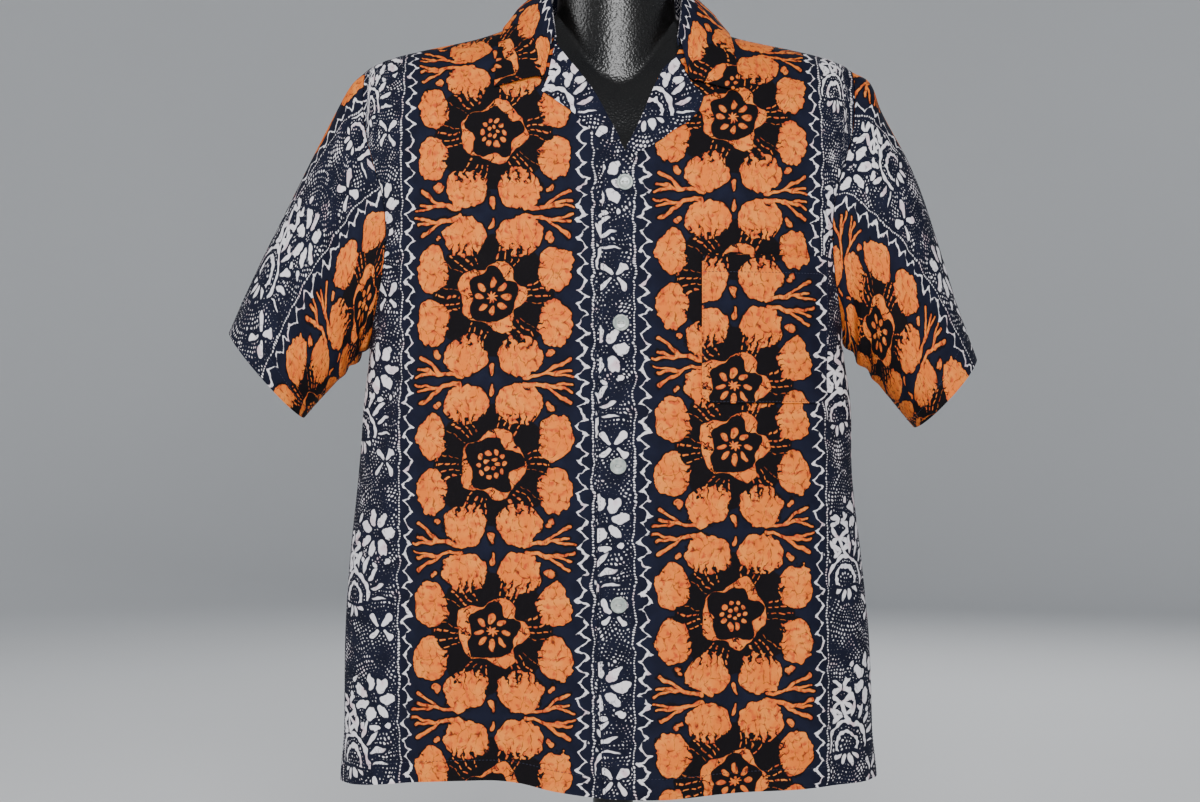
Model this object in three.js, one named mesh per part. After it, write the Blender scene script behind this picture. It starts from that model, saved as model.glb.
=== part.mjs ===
import * as THREE from 'three';

// A short-sleeved camp shirt on a limbless display form with a pole and a round base.
// Millimetres, Z up. The front faces -Y and +X is the wearer's left.
// Heights in the tables are measured up from the hem.

// Driving dimensions
const HEM_LEVEL = 150; // the hem above the ground
const CLOTH = 1.5; // wall of one layer of cloth
const SEAM = 0.3; // space between pieces that meet
const UNDERARM = 412; // height of the underarm seams
const SECTION_POWER = 2.5; // 2 is an ellipse, more is squarer
const FRONT_ROUNDING = 2.4; // how the chest rolls back to the shoulder
const BACK_ROUNDING = 4; // the same for the back
const SHOULDER_CENTRE = -4; // the shirt hangs a little to the wearer's right
const NECK_CENTRE = 3;
const NECK_SEAM_OUT = 68; // neck seam at the shoulder, out from the neck's centre
const SHOULDER_TIP = 229; // shoulder seam's outer end, out from the shoulders' centre
const VENT_HEIGHT = 52; // open slit at the foot of each side seam
const VENT_FLARE = 4; // how far the open slit stands out, and apart, at the hem
const VENT_SPREAD = 2;
const VENT_FROM = 0.85; // where the slit's flare starts, as a share of the way to the side seam
const FOLD_FADE = 6; // folds die out towards the side seams

// Horizontal sections of the body
const BODY = [
  { height: -10, centre: -4, halfWidth: 249, front: 104, back: 92 },
  { height: 130, centre: -5.5, halfWidth: 246.5, front: 107, back: 95 },
  { height: 204, centre: -7, halfWidth: 241, front: 109, back: 99 },
  { height: 281, centre: -7.5, halfWidth: 232.6, front: 111, back: 102 },
  { height: 345, centre: -6, halfWidth: 228, front: 112, back: 104 },
  { height: 412, centre: -6.5, halfWidth: 222, front: 112, back: 106 },
  { height: 500, centre: -4, halfWidth: 229, front: 112, back: 106 },
  { height: 575, centre: -4, halfWidth: 243, front: 112, back: 106 },
  { height: 640, centre: -4, halfWidth: 254, front: 112, back: 106 },
  { height: 740, centre: -4, halfWidth: 258, front: 112, back: 106 },
];

// Ridge line of the shoulder, out from its centre
const SHOULDER = [
  { out: 0, height: 735 },
  { out: 50, height: 722 },
  { out: 70, height: 716.5 },
  { out: 100, height: 705 },
  { out: 125, height: 697 },
  { out: 177, height: 686 },
  { out: 205, height: 679 },
  { out: 222, height: 672 },
  { out: 229, height: 667 },
  { out: 245, height: 655 },
];

// Armhole seam, out from the shoulders' centre
const ARMHOLE = [
  { height: 412, front: 222, back: 222 },
  { height: 418, front: 220, back: 221 },
  { height: 430, front: 217.5, back: 219.5 },
  { height: 445, front: 214, back: 217 },
  { height: 467, front: 209, back: 214 },
  { height: 500, front: 205, back: 211 },
  { height: 528, front: 205.5, back: 211 },
  { height: 550, front: 209, back: 213 },
  { height: 575, front: 217, back: 219 },
  { height: 605, front: 225, back: 225 },
  { height: 637, front: 228.5, back: 228.5 },
  { height: 667, front: 229, back: 229 },
];

// Height of the hem round the front
const HEM = [
  { x: -253, rise: 0 },
  { x: -205, rise: 6 },
  { x: -172, rise: 11 },
  { x: -118, rise: 14 },
  { x: -88, rise: 12 },
  { x: -55, rise: 5 },
  { x: -10, rise: -1 },
  { x: 45, rise: -2 },
  { x: 100, rise: 2 },
  { x: 195, rise: 4.5 },
  { x: 245, rise: 4 },
];

const BACK_HEM_SHARE = 0.5; // the back's hem rises less than the front's

// Soft folds that hang from `top` and are deepest at the hem; a minus depth is a hollow
const FOLDS = [
  { side: -1, x: -200, width: 26, depth: -5, top: 320 },
  { side: -1, x: -150, width: 28, depth: 4, top: 300 },
  { side: -1, x: -92, width: 30, depth: -4, top: 240 },
  { side: -1, x: 62, width: 34, depth: 3, top: 260 },
  { side: -1, x: 118, width: 30, depth: -4, top: 280 },
  { side: -1, x: 166, width: 28, depth: 4, top: 330 },
  { side: -1, x: 208, width: 24, depth: -6, top: 380 },
  { side: 1, x: -160, width: 32, depth: 6, top: 360 },
  { side: 1, x: -92, width: 34, depth: -5, top: 330 },
  { side: 1, x: -14, width: 36, depth: 5, top: 380 },
  { side: 1, x: 70, width: 32, depth: -5, top: 340 },
  { side: 1, x: 150, width: 34, depth: 6, top: 370 },
];

// Free edge of the front that laps over, and where its lift over the other front ends
const LAP_EDGE = [
  { height: -10, x: -9 },
  { height: 90, x: -13 },
  { height: 173, x: -15 },
  { height: 298, x: -14 },
  { height: 426, x: -12.3 },
  { height: 570, x: -9.6 },
];
const UNDER_EDGE_X = 21;
const LAP_LIFT = 2.6;
const LAP_FLAT_TO = 28;
const LAP_FADE_TO = 72;

// Roll lines, from the top of the button closure to the shoulder's neck end
const ROLL_RIGHT = [
  [21, 563],
  [8, 586],
  [-4, 611],
  [-16, 634],
  [-30, 654],
  [-41, 668],
  [-50, 681],
  [-54, 692],
  [-60, 706],
];
const ROLL_LEFT = [
  [-9.6, 570],
  [9, 580],
  [17, 596],
  [25, 613],
  [36, 640],
  [45, 659],
  [57, 672],
  [64, 690],
  [68, 706],
];

// Outlines of the turned-back lapels: the gorge side and the lower edge
const LAPEL_RIGHT = {
  lift: 0,
  roll: [[-52.5, 685], [-49, 679], [-41, 668], [-30, 654], [-16, 634], [-4, 611], [6, 592]],
  gorge: [[-52.5, 685], [-59, 649], [-65, 637]],
  lower: [[-65, 637], [-52, 628], [-36, 616], [-27, 607], [-14, 594], [-2, 589]],
};
const LAPEL_LEFT = {
  lift: 1,
  roll: [[57, 669], [45, 657], [36, 639], [25, 612], [17, 595], [11, 584]],
  gorge: [[57, 669], [70, 644], [82, 633]],
  lower: [[82, 633], [77, 619], [68, 609], [54, 600], [43, 591], [30, 583], [20, 578]],
};
const LAPEL_COLUMNS = 5;
const LAPEL_ROWS = 10;
const LAPEL_BULGE = 3;

// Collar stations from the front end (0) to the centre back (1) and one past it: out from the
// neck's centre, and how far over the shoulder (1 is the ridge, more is behind it)
const COLLAR = [
  {
    along: 0, seamOut: 57, seamOver: 0.66, rise: 5, lean: 1,
    bendOut: 66, bendOver: 0.53, bendLift: 2.6, edgeOut: 111, edgeOver: 0.54,
  },
  {
    along: 0.13, seamOut: 62, seamOver: 0.76, rise: 14, lean: 3,
    bendOut: 79, bendOver: 0.67, bendLift: 6, edgeOut: 109, edgeOver: 0.67,
  },
  {
    along: 0.27, seamOut: 66, seamOver: 0.88, rise: 22, lean: 5,
    bendOut: 85, bendOver: 0.83, bendLift: 9, edgeOut: 105, edgeOver: 0.83,
  },
  {
    along: 0.42, seamOut: 68, seamOver: 1, rise: 29, lean: 7,
    bendOut: 86, bendOver: 1, bendLift: 12, edgeOut: 101, edgeOver: 1.01,
  },
  {
    along: 0.6, seamOut: 61, seamOver: 1.15, rise: 35, lean: 6,
    bendOut: 76, bendOver: 1.18, bendLift: 13, edgeOut: 90, edgeOver: 1.22,
  },
  {
    along: 0.8, seamOut: 36, seamOver: 1.28, rise: 40, lean: 3,
    bendOut: 45, bendOver: 1.33, bendLift: 13, edgeOut: 55, edgeOver: 1.38,
  },
  {
    along: 1, seamOut: 0, seamOver: 1.33, rise: 42, lean: 1,
    bendOut: 0, bendOver: 1.38, bendLift: 12.5, edgeOut: 0, edgeOver: 1.44,
  },
  {
    along: 1.2, seamOut: -36, seamOver: 1.28, rise: 40, lean: 3,
    bendOut: -45, bendOver: 1.33, bendLift: 13, edgeOut: -55, edgeOver: 1.38,
  },
];
const COLLAR_HALF_COLUMNS = 12;
const COLLAR_TURN_OUT = 2.2; // the fold's own width and height
const COLLAR_TURN_UP = 1.6;
const STAND_ROWS = 3;
const LEAF_ROWS = 3;

// Sleeve lines from the armhole (0) to the hem (1), out from the shoulders' centre
const SLEEVE_RIGHT = [
  { along: 0, outTop: 228, highTop: 667, outUnder: 222, highUnder: 412, front: 60, back: 70 },
  { along: 0.06, outTop: 241, highTop: 655, outUnder: 227, highUnder: 405, front: 62, back: 71 },
  { along: 0.18, outTop: 255, highTop: 628, outUnder: 235, highUnder: 397, front: 64, back: 71 },
  { along: 0.4, outTop: 288, highTop: 566, outUnder: 250, highUnder: 381, front: 65, back: 69 },
  { along: 0.65, outTop: 319, highTop: 505, outUnder: 267, highUnder: 363, front: 62, back: 65 },
  { along: 0.85, outTop: 340, highTop: 460, outUnder: 279, highUnder: 350, front: 59, back: 62 },
  { along: 1, outTop: 357.5, highTop: 421, outUnder: 288, highUnder: 340, front: 57, back: 61 },
];
const SLEEVE_LEFT = [
  { along: 0, outTop: 228, highTop: 667, outUnder: 222, highUnder: 412, front: 60, back: 70 },
  { along: 0.06, outTop: 245, highTop: 657, outUnder: 226, highUnder: 407, front: 63, back: 72 },
  { along: 0.18, outTop: 256, highTop: 629, outUnder: 234, highUnder: 397, front: 66, back: 73 },
  { along: 0.4, outTop: 286, highTop: 570, outUnder: 250, highUnder: 378, front: 69, back: 74 },
  { along: 0.65, outTop: 310, highTop: 503, outUnder: 266, highUnder: 359, front: 69, back: 73 },
  { along: 0.85, outTop: 328, highTop: 447, outUnder: 279, highUnder: 343, front: 67, back: 71 },
  { along: 1, outTop: 346, highTop: 397, outUnder: 289, highUnder: 331, front: 66, back: 70 },
];
const SLEEVE_RINGS = 10;
const SLEEVE_CROWDING = 1.25; // rings are closer together at the armhole
const ARMHOLE_GAP = 0.8;

// Patch pocket and buttons on the left front
const POCKET = { left: 79, right: 195, bottom: 354, top: 488, corner: 5, lift: 1.2 };
const POCKET_STEPS = 8;
const BUTTONS = [
  { x: 10, height: 552 },
  { x: 6.4, height: 426 },
  { x: 4, height: 298 },
  { x: 4.6, height: 173.5 },
];
const BUTTON_RADIUS = 7.35;
const BUTTON_THICK = 2.2;
const BUTTON_ROUND_OUT = 0.5; // the rounded edge, out and up
const BUTTON_ROUND_UP = 0.4;
const BUTTON_HOLE_RADIUS = 0.95;
const BUTTON_HOLE_OUT = 1.7;
const BUTTON_SEGMENTS = 7;

// Display form, pole and base
const FORM = [
  { height: 18, halfWidth: 166, front: 80, back: 76 },
  { height: 26, halfWidth: 173, front: 86, back: 82 },
  { height: 70, halfWidth: 176, front: 90, back: 86 },
  { height: 140, halfWidth: 168, front: 90, back: 84 },
  { height: 230, halfWidth: 166, front: 91, back: 84 },
  { height: 330, halfWidth: 188, front: 99, back: 92 },
  { height: 412, halfWidth: 206, front: 104, back: 97 },
];
const FORM_AROUND = 32;
const FORM_LOW_RINGS = 9;
const FORM_UPPER_RINGS = 10;
const FORM_CLEAR = CLOTH + 0.7;
const NECK = { top: 800, halfWidth: 57, front: 57, back: 52, topShrink: 0.93, rings: 5 };
const THROAT = { dip: 38, width: 42, from: 10, deep: 55, fadeFrom: 75, fadeTo: 102 };
const NAPE = { dip: 4, width: 100, deep: 8 };
const POLE_RADIUS = 19;
const BASE_RADIUS = 150;
const BASE_THICK = 9;
const BASE_EDGE = 3;
const ROUND_SIDES = 32;

// How finely the pieces are divided
const COLUMNS_FRONT = 14;
const COLUMNS_BACK = 18;
const ROWS_LOW = 10;
const ROWS_HIGH = 13;
const ROW_CROWDING = 1.3;
const EDGE_SAMPLES = 200;
const BACK_NECK_OVER = 0.64; // how far up the back the neckline lies at its centre
const BACK_NECK_SHARE = 0.3; // the neckline's share of the back's top edge

const HALF_TURN = Math.PI / 2;

// Reads one column of a table smoothly at a place between its rows
function read(table, by, column, at) {
  const last = table.length - 1;
  const place = THREE.MathUtils.clamp(at, table[0][by], table[last][by]);
  let i = 0;
  while (i < last - 1 && table[i + 1][by] < place) i += 1;
  const before = table[Math.max(i - 1, 0)];
  const low = table[i];
  const high = table[i + 1];
  const after = table[Math.min(i + 2, last)];
  const span = high[by] - low[by];
  const slopeLow = ((high[column] - before[column]) / (high[by] - before[by])) * span;
  const slopeHigh = ((after[column] - low[column]) / (after[by] - low[by])) * span;
  const t = (place - low[by]) / span;
  const t2 = t * t;
  const t3 = t2 * t;
  return (2 * t3 - 3 * t2 + 1) * low[column] + (t3 - 2 * t2 + t) * slopeLow
    + (3 * t2 - 2 * t3) * high[column] + (t3 - t2) * slopeHigh;
}

// The same, with straight lines between the rows
function readStraight(table, by, column, at) {
  const high = Math.max(table.findIndex((row) => row[by] >= at), 1);
  const before = table[high - 1];
  const after = table[high];
  const share = (at - before[by]) / Math.max(after[by] - before[by], 1e-9);
  return THREE.MathUtils.lerp(before[column], after[column], THREE.MathUtils.clamp(share, 0, 1));
}

function body(column, height) {
  return read(BODY, 'height', column, height);
}

function ridgeHeight(x) {
  return read(SHOULDER, 'out', 'height', Math.abs(x - SHOULDER_CENTRE));
}

function signedPower(value, power) {
  return Math.sign(value) * Math.abs(value) ** power;
}

// How far folds move the cloth out at one place
function foldDepth(x, height, side) {
  let depth = 0;
  for (const fold of FOLDS) {
    if (fold.side !== side) continue;
    const across = Math.exp(-(((x - fold.x) / fold.width) ** 2));
    depth += fold.depth * across * THREE.MathUtils.smoothstep(fold.top - height, 0, fold.top);
  }
  return depth;
}

// Depth of the body's section at x; side is -1 in front and 1 behind
function sectionDepth(x, height, side) {
  const out = Math.min(Math.abs(x - body('centre', height)) / body('halfWidth', height), 1);
  const round = (1 - out ** SECTION_POWER) ** (1 / SECTION_POWER);
  const deep = body(side < 0 ? 'front' : 'back', height);
  return deep * round + foldDepth(x, height, side) * (1 - out ** FOLD_FADE);
}

// Extra lift of the front that laps over the other one
function lapLift(x) {
  return LAP_LIFT * (1 - THREE.MathUtils.smoothstep(x, LAP_FLAT_TO, LAP_FADE_TO));
}

function rounding(side) {
  return side < 0 ? FRONT_ROUNDING : BACK_ROUNDING;
}

// A point of the body's outer skin at x and a height
function skinPoint(x, height, side) {
  const climb = Math.max((height - UNDERARM) / (ridgeHeight(x) - UNDERARM), 0);
  const lean = Math.sqrt(Math.max(1 - climb ** rounding(side), 0));
  return new THREE.Vector3(x, side * sectionDepth(x, height, side) * lean, height);
}

// The same skin above the underarm, by how far it has climbed: 0 at the chest, 1 at the ridge
function climbPoint(x, climb, side) {
  const turn = climb * HALF_TURN;
  const rise = Math.max(Math.sin(turn), 0) ** (2 / rounding(side));
  const height = UNDERARM + (ridgeHeight(x) - UNDERARM) * rise;
  return new THREE.Vector3(x, side * sectionDepth(x, height, side) * Math.cos(turn), height);
}

function climbOf(x, height, side) {
  const rise = THREE.MathUtils.clamp((height - UNDERARM) / (ridgeHeight(x) - UNDERARM), 0, 1);
  return Math.asin(rise ** (rounding(side) / 2)) / HALF_TURN;
}

// Over the shoulder from the front (0) past the ridge (1) to the back (2)
function overPoint(x, over) {
  return over < 1 ? climbPoint(x, over, -1) : climbPoint(x, 2 - over, 1);
}

// Moves a point of a surface out along the surface's own normal
function movedOut(surface, u, v, distance, stepU, stepV) {
  const here = surface(u, v);
  const alongU = surface(u + stepU, v).sub(surface(u - stepU, v));
  const alongV = surface(u, v + stepV).sub(surface(u, v - stepV));
  const normal = alongU.cross(alongV).normalize();
  return here.addScaledVector(normal, distance);
}

function frontMovedOut(x, height, distance) {
  const surface = (u, v) => skinPoint(u, v, -1);
  return movedOut(surface, x, height, distance, 1, 1);
}

function overMovedOut(x, over, distance) {
  return movedOut(overPoint, x, over, distance, 1, 0.01);
}

// Normals of a grid of points; `around` closes each row into a ring
function gridNormals(points, around) {
  const rows = points.length;
  const columns = points[0].length;
  const column = (c) => (around ? (c + columns) % columns : THREE.MathUtils.clamp(c, 0, columns - 1));
  const row = (r) => THREE.MathUtils.clamp(r, 0, rows - 1);
  return points.map((line, r) => line.map((_, c) => {
    const across = points[r][column(c + 1)].clone().sub(points[r][column(c - 1)]);
    const up = points[row(r + 1)][c].clone().sub(points[row(r - 1)][c]);
    return across.cross(up).normalize();
  }));
}

// Two triangles on each grid cell, or the same turned over
function cellTriangles(index, rows, columns, around, turned) {
  const triangles = [];
  const wide = around ? columns : columns - 1;
  for (let r = 0; r < rows - 1; r += 1) {
    for (let c = 0; c < wide; c += 1) {
      const next = (c + 1) % columns;
      const corners = [index(r, c), index(r, next), index(r + 1, next), index(r + 1, c)];
      if (turned) corners.reverse();
      const [a, b, d, e] = corners;
      triangles.push(...(turned ? [b, d, e, b, e, a] : [a, b, d, a, d, e]));
    }
  }
  return triangles;
}

// The narrow faces that join the outer and inner skins along one edge
function rimTriangles(outer, inner, closed) {
  const triangles = [];
  const count = closed ? outer.length : outer.length - 1;
  for (let i = 0; i < count; i += 1) {
    const next = (i + 1) % outer.length;
    triangles.push(outer[i], inner[i], inner[next], outer[i], inner[next], outer[next]);
  }
  return triangles;
}

function signedVolume(points, triangles) {
  let volume = 0;
  for (let i = 0; i < triangles.length; i += 3) {
    const [a, b, c] = [points[triangles[i]], points[triangles[i + 1]], points[triangles[i + 2]]];
    volume += a.dot(new THREE.Vector3().crossVectors(b, c)) / 6;
  }
  return volume;
}

// A closed geometry from shared points; turns all faces if they point inwards
function closedGeometry(points, triangles) {
  const faces = signedVolume(points, triangles) < 0 ? [...triangles].reverse() : triangles;
  const geometry = new THREE.BufferGeometry().setFromPoints(points);
  geometry.setIndex(faces);
  geometry.computeVertexNormals();
  return geometry;
}

// A wall of cloth: `points` are its outer face and `normals` point out of it
function wallGeometry(points, normals, { thickness = CLOTH, around = false, hold = (p) => p } = {}) {
  const rows = points.length;
  const columns = points[0].length;
  const size = rows * columns;
  const outerSkin = points.flat().map((p) => hold(p.clone()));
  const innerSkin = points.flatMap((line, r) => line.map(
    (p, c) => hold(p.clone().addScaledVector(normals[r][c], -thickness)),
  ));
  const outer = (r, c) => r * columns + c;
  const inner = (r, c) => size + r * columns + c;
  const acrossRow = (index, r) => Array.from({ length: columns }, (_, c) => index(r, c));
  const upColumn = (index, c) => Array.from({ length: rows }, (_, r) => index(r, c));
  const triangles = [
    ...cellTriangles(outer, rows, columns, around, false),
    ...cellTriangles(inner, rows, columns, around, true),
    ...rimTriangles(acrossRow(outer, 0), acrossRow(inner, 0), around),
    ...rimTriangles(acrossRow(inner, rows - 1), acrossRow(outer, rows - 1), around),
  ];
  if (!around) {
    triangles.push(...rimTriangles(upColumn(inner, 0), upColumn(outer, 0), false));
    triangles.push(...rimTriangles(upColumn(outer, columns - 1), upColumn(inner, columns - 1), false));
  }
  return closedGeometry([...outerSkin, ...innerSkin], triangles);
}

// Fills a four-sided patch smoothly from its edges, each a function from 0 to 1
function patchPoint(edges, u, v) {
  const point = new THREE.Vector2();
  point.addScaledVector(edges.bottom(u), 1 - v);
  point.addScaledVector(edges.top(u), v);
  point.addScaledVector(edges.left(v), 1 - u);
  point.addScaledVector(edges.right(v), u);
  point.addScaledVector(edges.bottom(0), -(1 - u) * (1 - v));
  point.addScaledVector(edges.bottom(1), -u * (1 - v));
  point.addScaledVector(edges.top(0), -(1 - u) * v);
  point.addScaledVector(edges.top(1), -u * v);
  return point;
}

function splineThrough(pairs) {
  return new THREE.SplineCurve(pairs.map(([x, y]) => new THREE.Vector2(x, y)));
}

// Turns an upright curve of x and height into a function that gives x at a climb
function edgeByClimb(curve, side) {
  const samples = curve.getPoints(EDGE_SAMPLES).map(({ x, y }) => ({ x, climb: climbOf(x, y, side) }));
  samples[0].climb = 0;
  samples[samples.length - 1].climb = 1;
  return (climb) => new THREE.Vector2(readStraight(samples, 'climb', 'x', climb), climb);
}

function armholeCurve(hand, side) {
  const column = side < 0 ? 'front' : 'back';
  const pairs = ARMHOLE.map((row) => {
    const centre = THREE.MathUtils.lerp(body('centre', row.height), SHOULDER_CENTRE, 0.5);
    const underarmShift = row === ARMHOLE[0] ? body('centre', UNDERARM) - centre : 0;
    return [centre + underarmShift + hand * row[column], row.height];
  });
  return splineThrough(pairs);
}

// Row by row, how far a panel has climbed; close together at the underarm and the ridge
function rowClimb(k, side) {
  const turn = (k / ROWS_HIGH) ** ROW_CROWDING * HALF_TURN;
  const rise = Math.sin(turn) ** (2 / FRONT_ROUNDING);
  return Math.asin(rise ** (rounding(side) / 2)) / HALF_TURN;
}

// x across a body section, evenly round its curve; turn runs from -1 to 1, side seam to side seam
function sectionX(turn, height) {
  const across = signedPower(Math.sin(turn * HALF_TURN), 2 / SECTION_POWER);
  return body('centre', height) + body('halfWidth', height) * across;
}

function sectionTurn(x, height) {
  const across = (x - body('centre', height)) / body('halfWidth', height);
  return Math.asin(signedPower(across, SECTION_POWER / 2)) / HALF_TURN;
}

// How open the side vent is at a height and a turn round the section
function ventOpening(turn, height) {
  const low = 1 - THREE.MathUtils.smoothstep(height, 0, VENT_HEIGHT);
  return low * THREE.MathUtils.smoothstep(Math.abs(turn), VENT_FROM, 1);
}

function lowPoint(turn, height, side) {
  const x = sectionX(turn, height);
  const point = skinPoint(x, height, side);
  const vent = ventOpening(turn, height);
  point.x += Math.sign(turn) * VENT_FLARE * vent;
  point.y += side * VENT_SPREAD * vent;
  return point;
}

function hemHeight(x, side) {
  return side < 0 ? read(HEM, 'x', 'rise', x) : read(HEM, 'x', 'rise', -x) * BACK_HEM_SHARE;
}

// Keeps a panel on its own side of the side and shoulder seams
function onSide(side) {
  return (point) => {
    point.y = side * Math.max(side * point.y, SEAM / 2);
    return point;
  };
}

// Grid of one body panel: level rows up to the underarm, then rows that turn to the shoulder
function panelGrid({ side, columns, turnAt, edges, lift = () => 0 }) {
  const steps = Array.from({ length: columns + 1 }, (_, i) => i / columns);
  const rows = [];
  for (let j = 0; j < ROWS_LOW; j += 1) {
    rows.push(steps.map((u) => {
      const start = hemHeight(sectionX(turnAt(u, 0), 0), side);
      const height = THREE.MathUtils.lerp(start, UNDERARM, j / ROWS_LOW);
      return lowPoint(turnAt(u, height), height, side);
    }));
  }
  for (let k = 0; k <= ROWS_HIGH; k += 1) {
    rows.push(steps.map((u) => {
      const { x, y } = patchPoint(edges, u, rowClimb(k, side));
      return climbPoint(x, THREE.MathUtils.clamp(y, 0, 1), side);
    }));
  }
  const hold = onSide(side);
  return rows.map((row) => row.map((point) => {
    point.y += side * lift(point.x);
    return hold(point);
  }));
}

// A front panel; hand is -1 for the wearer's right and 1 for the left
function frontGrid(hand, edgeX, roll, lift) {
  const turnAt = (u, height) => THREE.MathUtils.lerp(sectionTurn(edgeX(height), height), hand, u);
  const neckEnd = [NECK_CENTRE + hand * NECK_SEAM_OUT, ridgeHeight(NECK_CENTRE + hand * NECK_SEAM_OUT)];
  const inner = new THREE.CurvePath();
  const corner = new THREE.Vector2(...roll[0]);
  inner.add(new THREE.LineCurve(new THREE.Vector2(edgeX(UNDERARM), UNDERARM), corner));
  inner.add(splineThrough([...roll, neckEnd]));
  const tipX = SHOULDER_CENTRE + hand * SHOULDER_TIP;
  const edges = {
    bottom: (u) => new THREE.Vector2(sectionX(turnAt(u, UNDERARM), UNDERARM), 0),
    top: (u) => new THREE.Vector2(THREE.MathUtils.lerp(neckEnd[0], tipX, u), 1),
    left: edgeByClimb(inner, -1),
    right: edgeByClimb(armholeCurve(hand, -1), -1),
  };
  return panelGrid({ side: -1, columns: COLUMNS_FRONT, turnAt, edges, lift });
}

// Top edge of the back: shoulder, neckline, shoulder
function backTop(u) {
  const across = 2 * u - 1;
  const hand = Math.sign(across) || 1;
  const out = Math.abs(across);
  if (out <= BACK_NECK_SHARE) {
    const turn = (out / BACK_NECK_SHARE) * HALF_TURN;
    const x = NECK_CENTRE + hand * NECK_SEAM_OUT * Math.sin(turn);
    return new THREE.Vector2(x, 1 - (1 - BACK_NECK_OVER) * Math.cos(turn) ** 0.8);
  }
  const along = (out - BACK_NECK_SHARE) / (1 - BACK_NECK_SHARE);
  const neckX = NECK_CENTRE + hand * NECK_SEAM_OUT;
  return new THREE.Vector2(THREE.MathUtils.lerp(neckX, SHOULDER_CENTRE + hand * SHOULDER_TIP, along), 1);
}

function backGrid() {
  const turnAt = (u) => 2 * u - 1;
  const edges = {
    bottom: (u) => new THREE.Vector2(sectionX(turnAt(u), UNDERARM), 0),
    top: backTop,
    left: edgeByClimb(armholeCurve(-1, 1), 1),
    right: edgeByClimb(armholeCurve(1, 1), 1),
  };
  return panelGrid({ side: 1, columns: COLUMNS_BACK, turnAt, edges });
}

// The armhole's points and normals: up the front from the underarm, then down the back
function armholeLoop(frontPanel, backPanel, hand) {
  const frontColumn = COLUMNS_FRONT;
  const backColumn = hand < 0 ? 0 : COLUMNS_BACK;
  const outwards = (panel, column) => {
    const normals = gridNormals(panel, false);
    const loop = [];
    for (let r = ROWS_LOW; r < panel.length; r += 1) {
      const normal = normals[r][column].clone();
      const inside = panel[r][column].clone().sub(new THREE.Vector3(SHOULDER_CENTRE, 0, UNDERARM));
      if (normal.dot(inside) < 0) normal.negate();
      loop.push({ point: panel[r][column], normal });
    }
    return loop;
  };
  const up = outwards(frontPanel, frontColumn);
  const down = outwards(backPanel, backColumn).slice(1, -1).reverse();
  return [...up, ...down];
}

// A plain sleeve section before it is fitted to the armhole
function sleevePoint(table, hand, along, turn) {
  const at = (column) => read(table, 'along', column, along);
  const swing = (1 - Math.cos(turn)) / 2;
  const out = THREE.MathUtils.lerp(at('outUnder'), at('outTop'), swing);
  const height = THREE.MathUtils.lerp(at('highUnder'), at('highTop'), swing);
  const deep = Math.sin(turn);
  const y = deep > 0 ? -at('front') * deep : -at('back') * deep;
  return new THREE.Vector3(SHOULDER_CENTRE + hand * out, y, height);
}

// Rings from the armhole's own loop, moved off it, out to the sleeve's hem
function sleeveRings(table, hand, loop) {
  const count = loop.length;
  const rings = [];
  for (let k = 0; k <= SLEEVE_RINGS; k += 1) {
    const along = (k / SLEEVE_RINGS) ** SLEEVE_CROWDING;
    rings.push(loop.map(({ point }, i) => {
      const turn = (i / count) * 2 * Math.PI;
      const plain = sleevePoint(table, hand, along, turn);
      const misfit = point.clone().sub(sleevePoint(table, hand, 0, turn));
      return plain.addScaledVector(misfit, (1 - along) ** 3);
    }));
  }
  return rings;
}

function sleeveGeometry(table, hand, loop) {
  const rings = sleeveRings(table, hand, loop);
  const count = loop.length;
  const centre = (ring) => ring.reduce((sum, p) => sum.add(p), new THREE.Vector3()).divideScalar(count);
  const middle = centre(rings[0]);
  rings[0] = loop.map(({ point, normal }, i) => {
    const tangent = loop[(i + 1) % count].point.clone().sub(loop[(i + count - 1) % count].point);
    const away = tangent.cross(normal).normalize();
    if (away.dot(middle.clone().sub(point)) < 0) away.negate();
    return point.clone().addScaledVector(away, ARMHOLE_GAP);
  });
  const normals = gridNormals(rings, true);
  const ringNormal = normals[1][0].dot(rings[1][0].clone().sub(centre(rings[1])));
  if (ringNormal < 0) normals.flat().forEach((normal) => normal.negate());
  normals[0] = normals[1].map((normal, i) => normal.clone().add(loop[i].normal).normalize());
  return wallGeometry(rings, normals, { around: true });
}

// One lapel, laid on its front from the roll line to its free edge
function lapelGeometry(shape) {
  const roll = splineThrough(shape.roll);
  const lower = splineThrough(shape.lower);
  const gorge = new THREE.CurvePath();
  const corners = shape.gorge.map(([x, y]) => new THREE.Vector2(x, y));
  corners.slice(1).forEach((corner, i) => gorge.add(new THREE.LineCurve(corners[i], corner)));
  const end = new THREE.LineCurve(roll.getPoint(1), lower.getPoint(1));
  const edges = {
    left: (v) => roll.getPointAt(v),
    right: (v) => lower.getPointAt(v),
    bottom: (u) => gorge.getPoint(u),
    top: (u) => end.getPoint(u),
  };
  const rows = [];
  for (let r = 0; r <= LAPEL_ROWS; r += 1) {
    const row = [];
    for (let c = 0; c <= LAPEL_COLUMNS; c += 1) {
      const u = c / LAPEL_COLUMNS;
      const { x, y } = patchPoint(edges, u, r / LAPEL_ROWS);
      const bulge = LAPEL_BULGE * Math.sin(Math.PI * u) * (1 - r / LAPEL_ROWS);
      const under = shape.lift * lapLift(x);
      row.push(frontMovedOut(x, y, under + CLOTH + 2 * SEAM + bulge));
    }
    rows.push(row);
  }
  return wallGeometry(rows, outwardNormals(rows, new THREE.Vector3(0, -1, 0)));
}

// Grid normals turned to agree with one direction
function outwardNormals(rows, direction) {
  const normals = gridNormals(rows, false);
  const middle = normals[Math.floor(rows.length / 2)][Math.floor(rows[0].length / 2)];
  if (middle.dot(direction) < 0) normals.flat().forEach((normal) => normal.negate());
  return normals;
}

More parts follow.
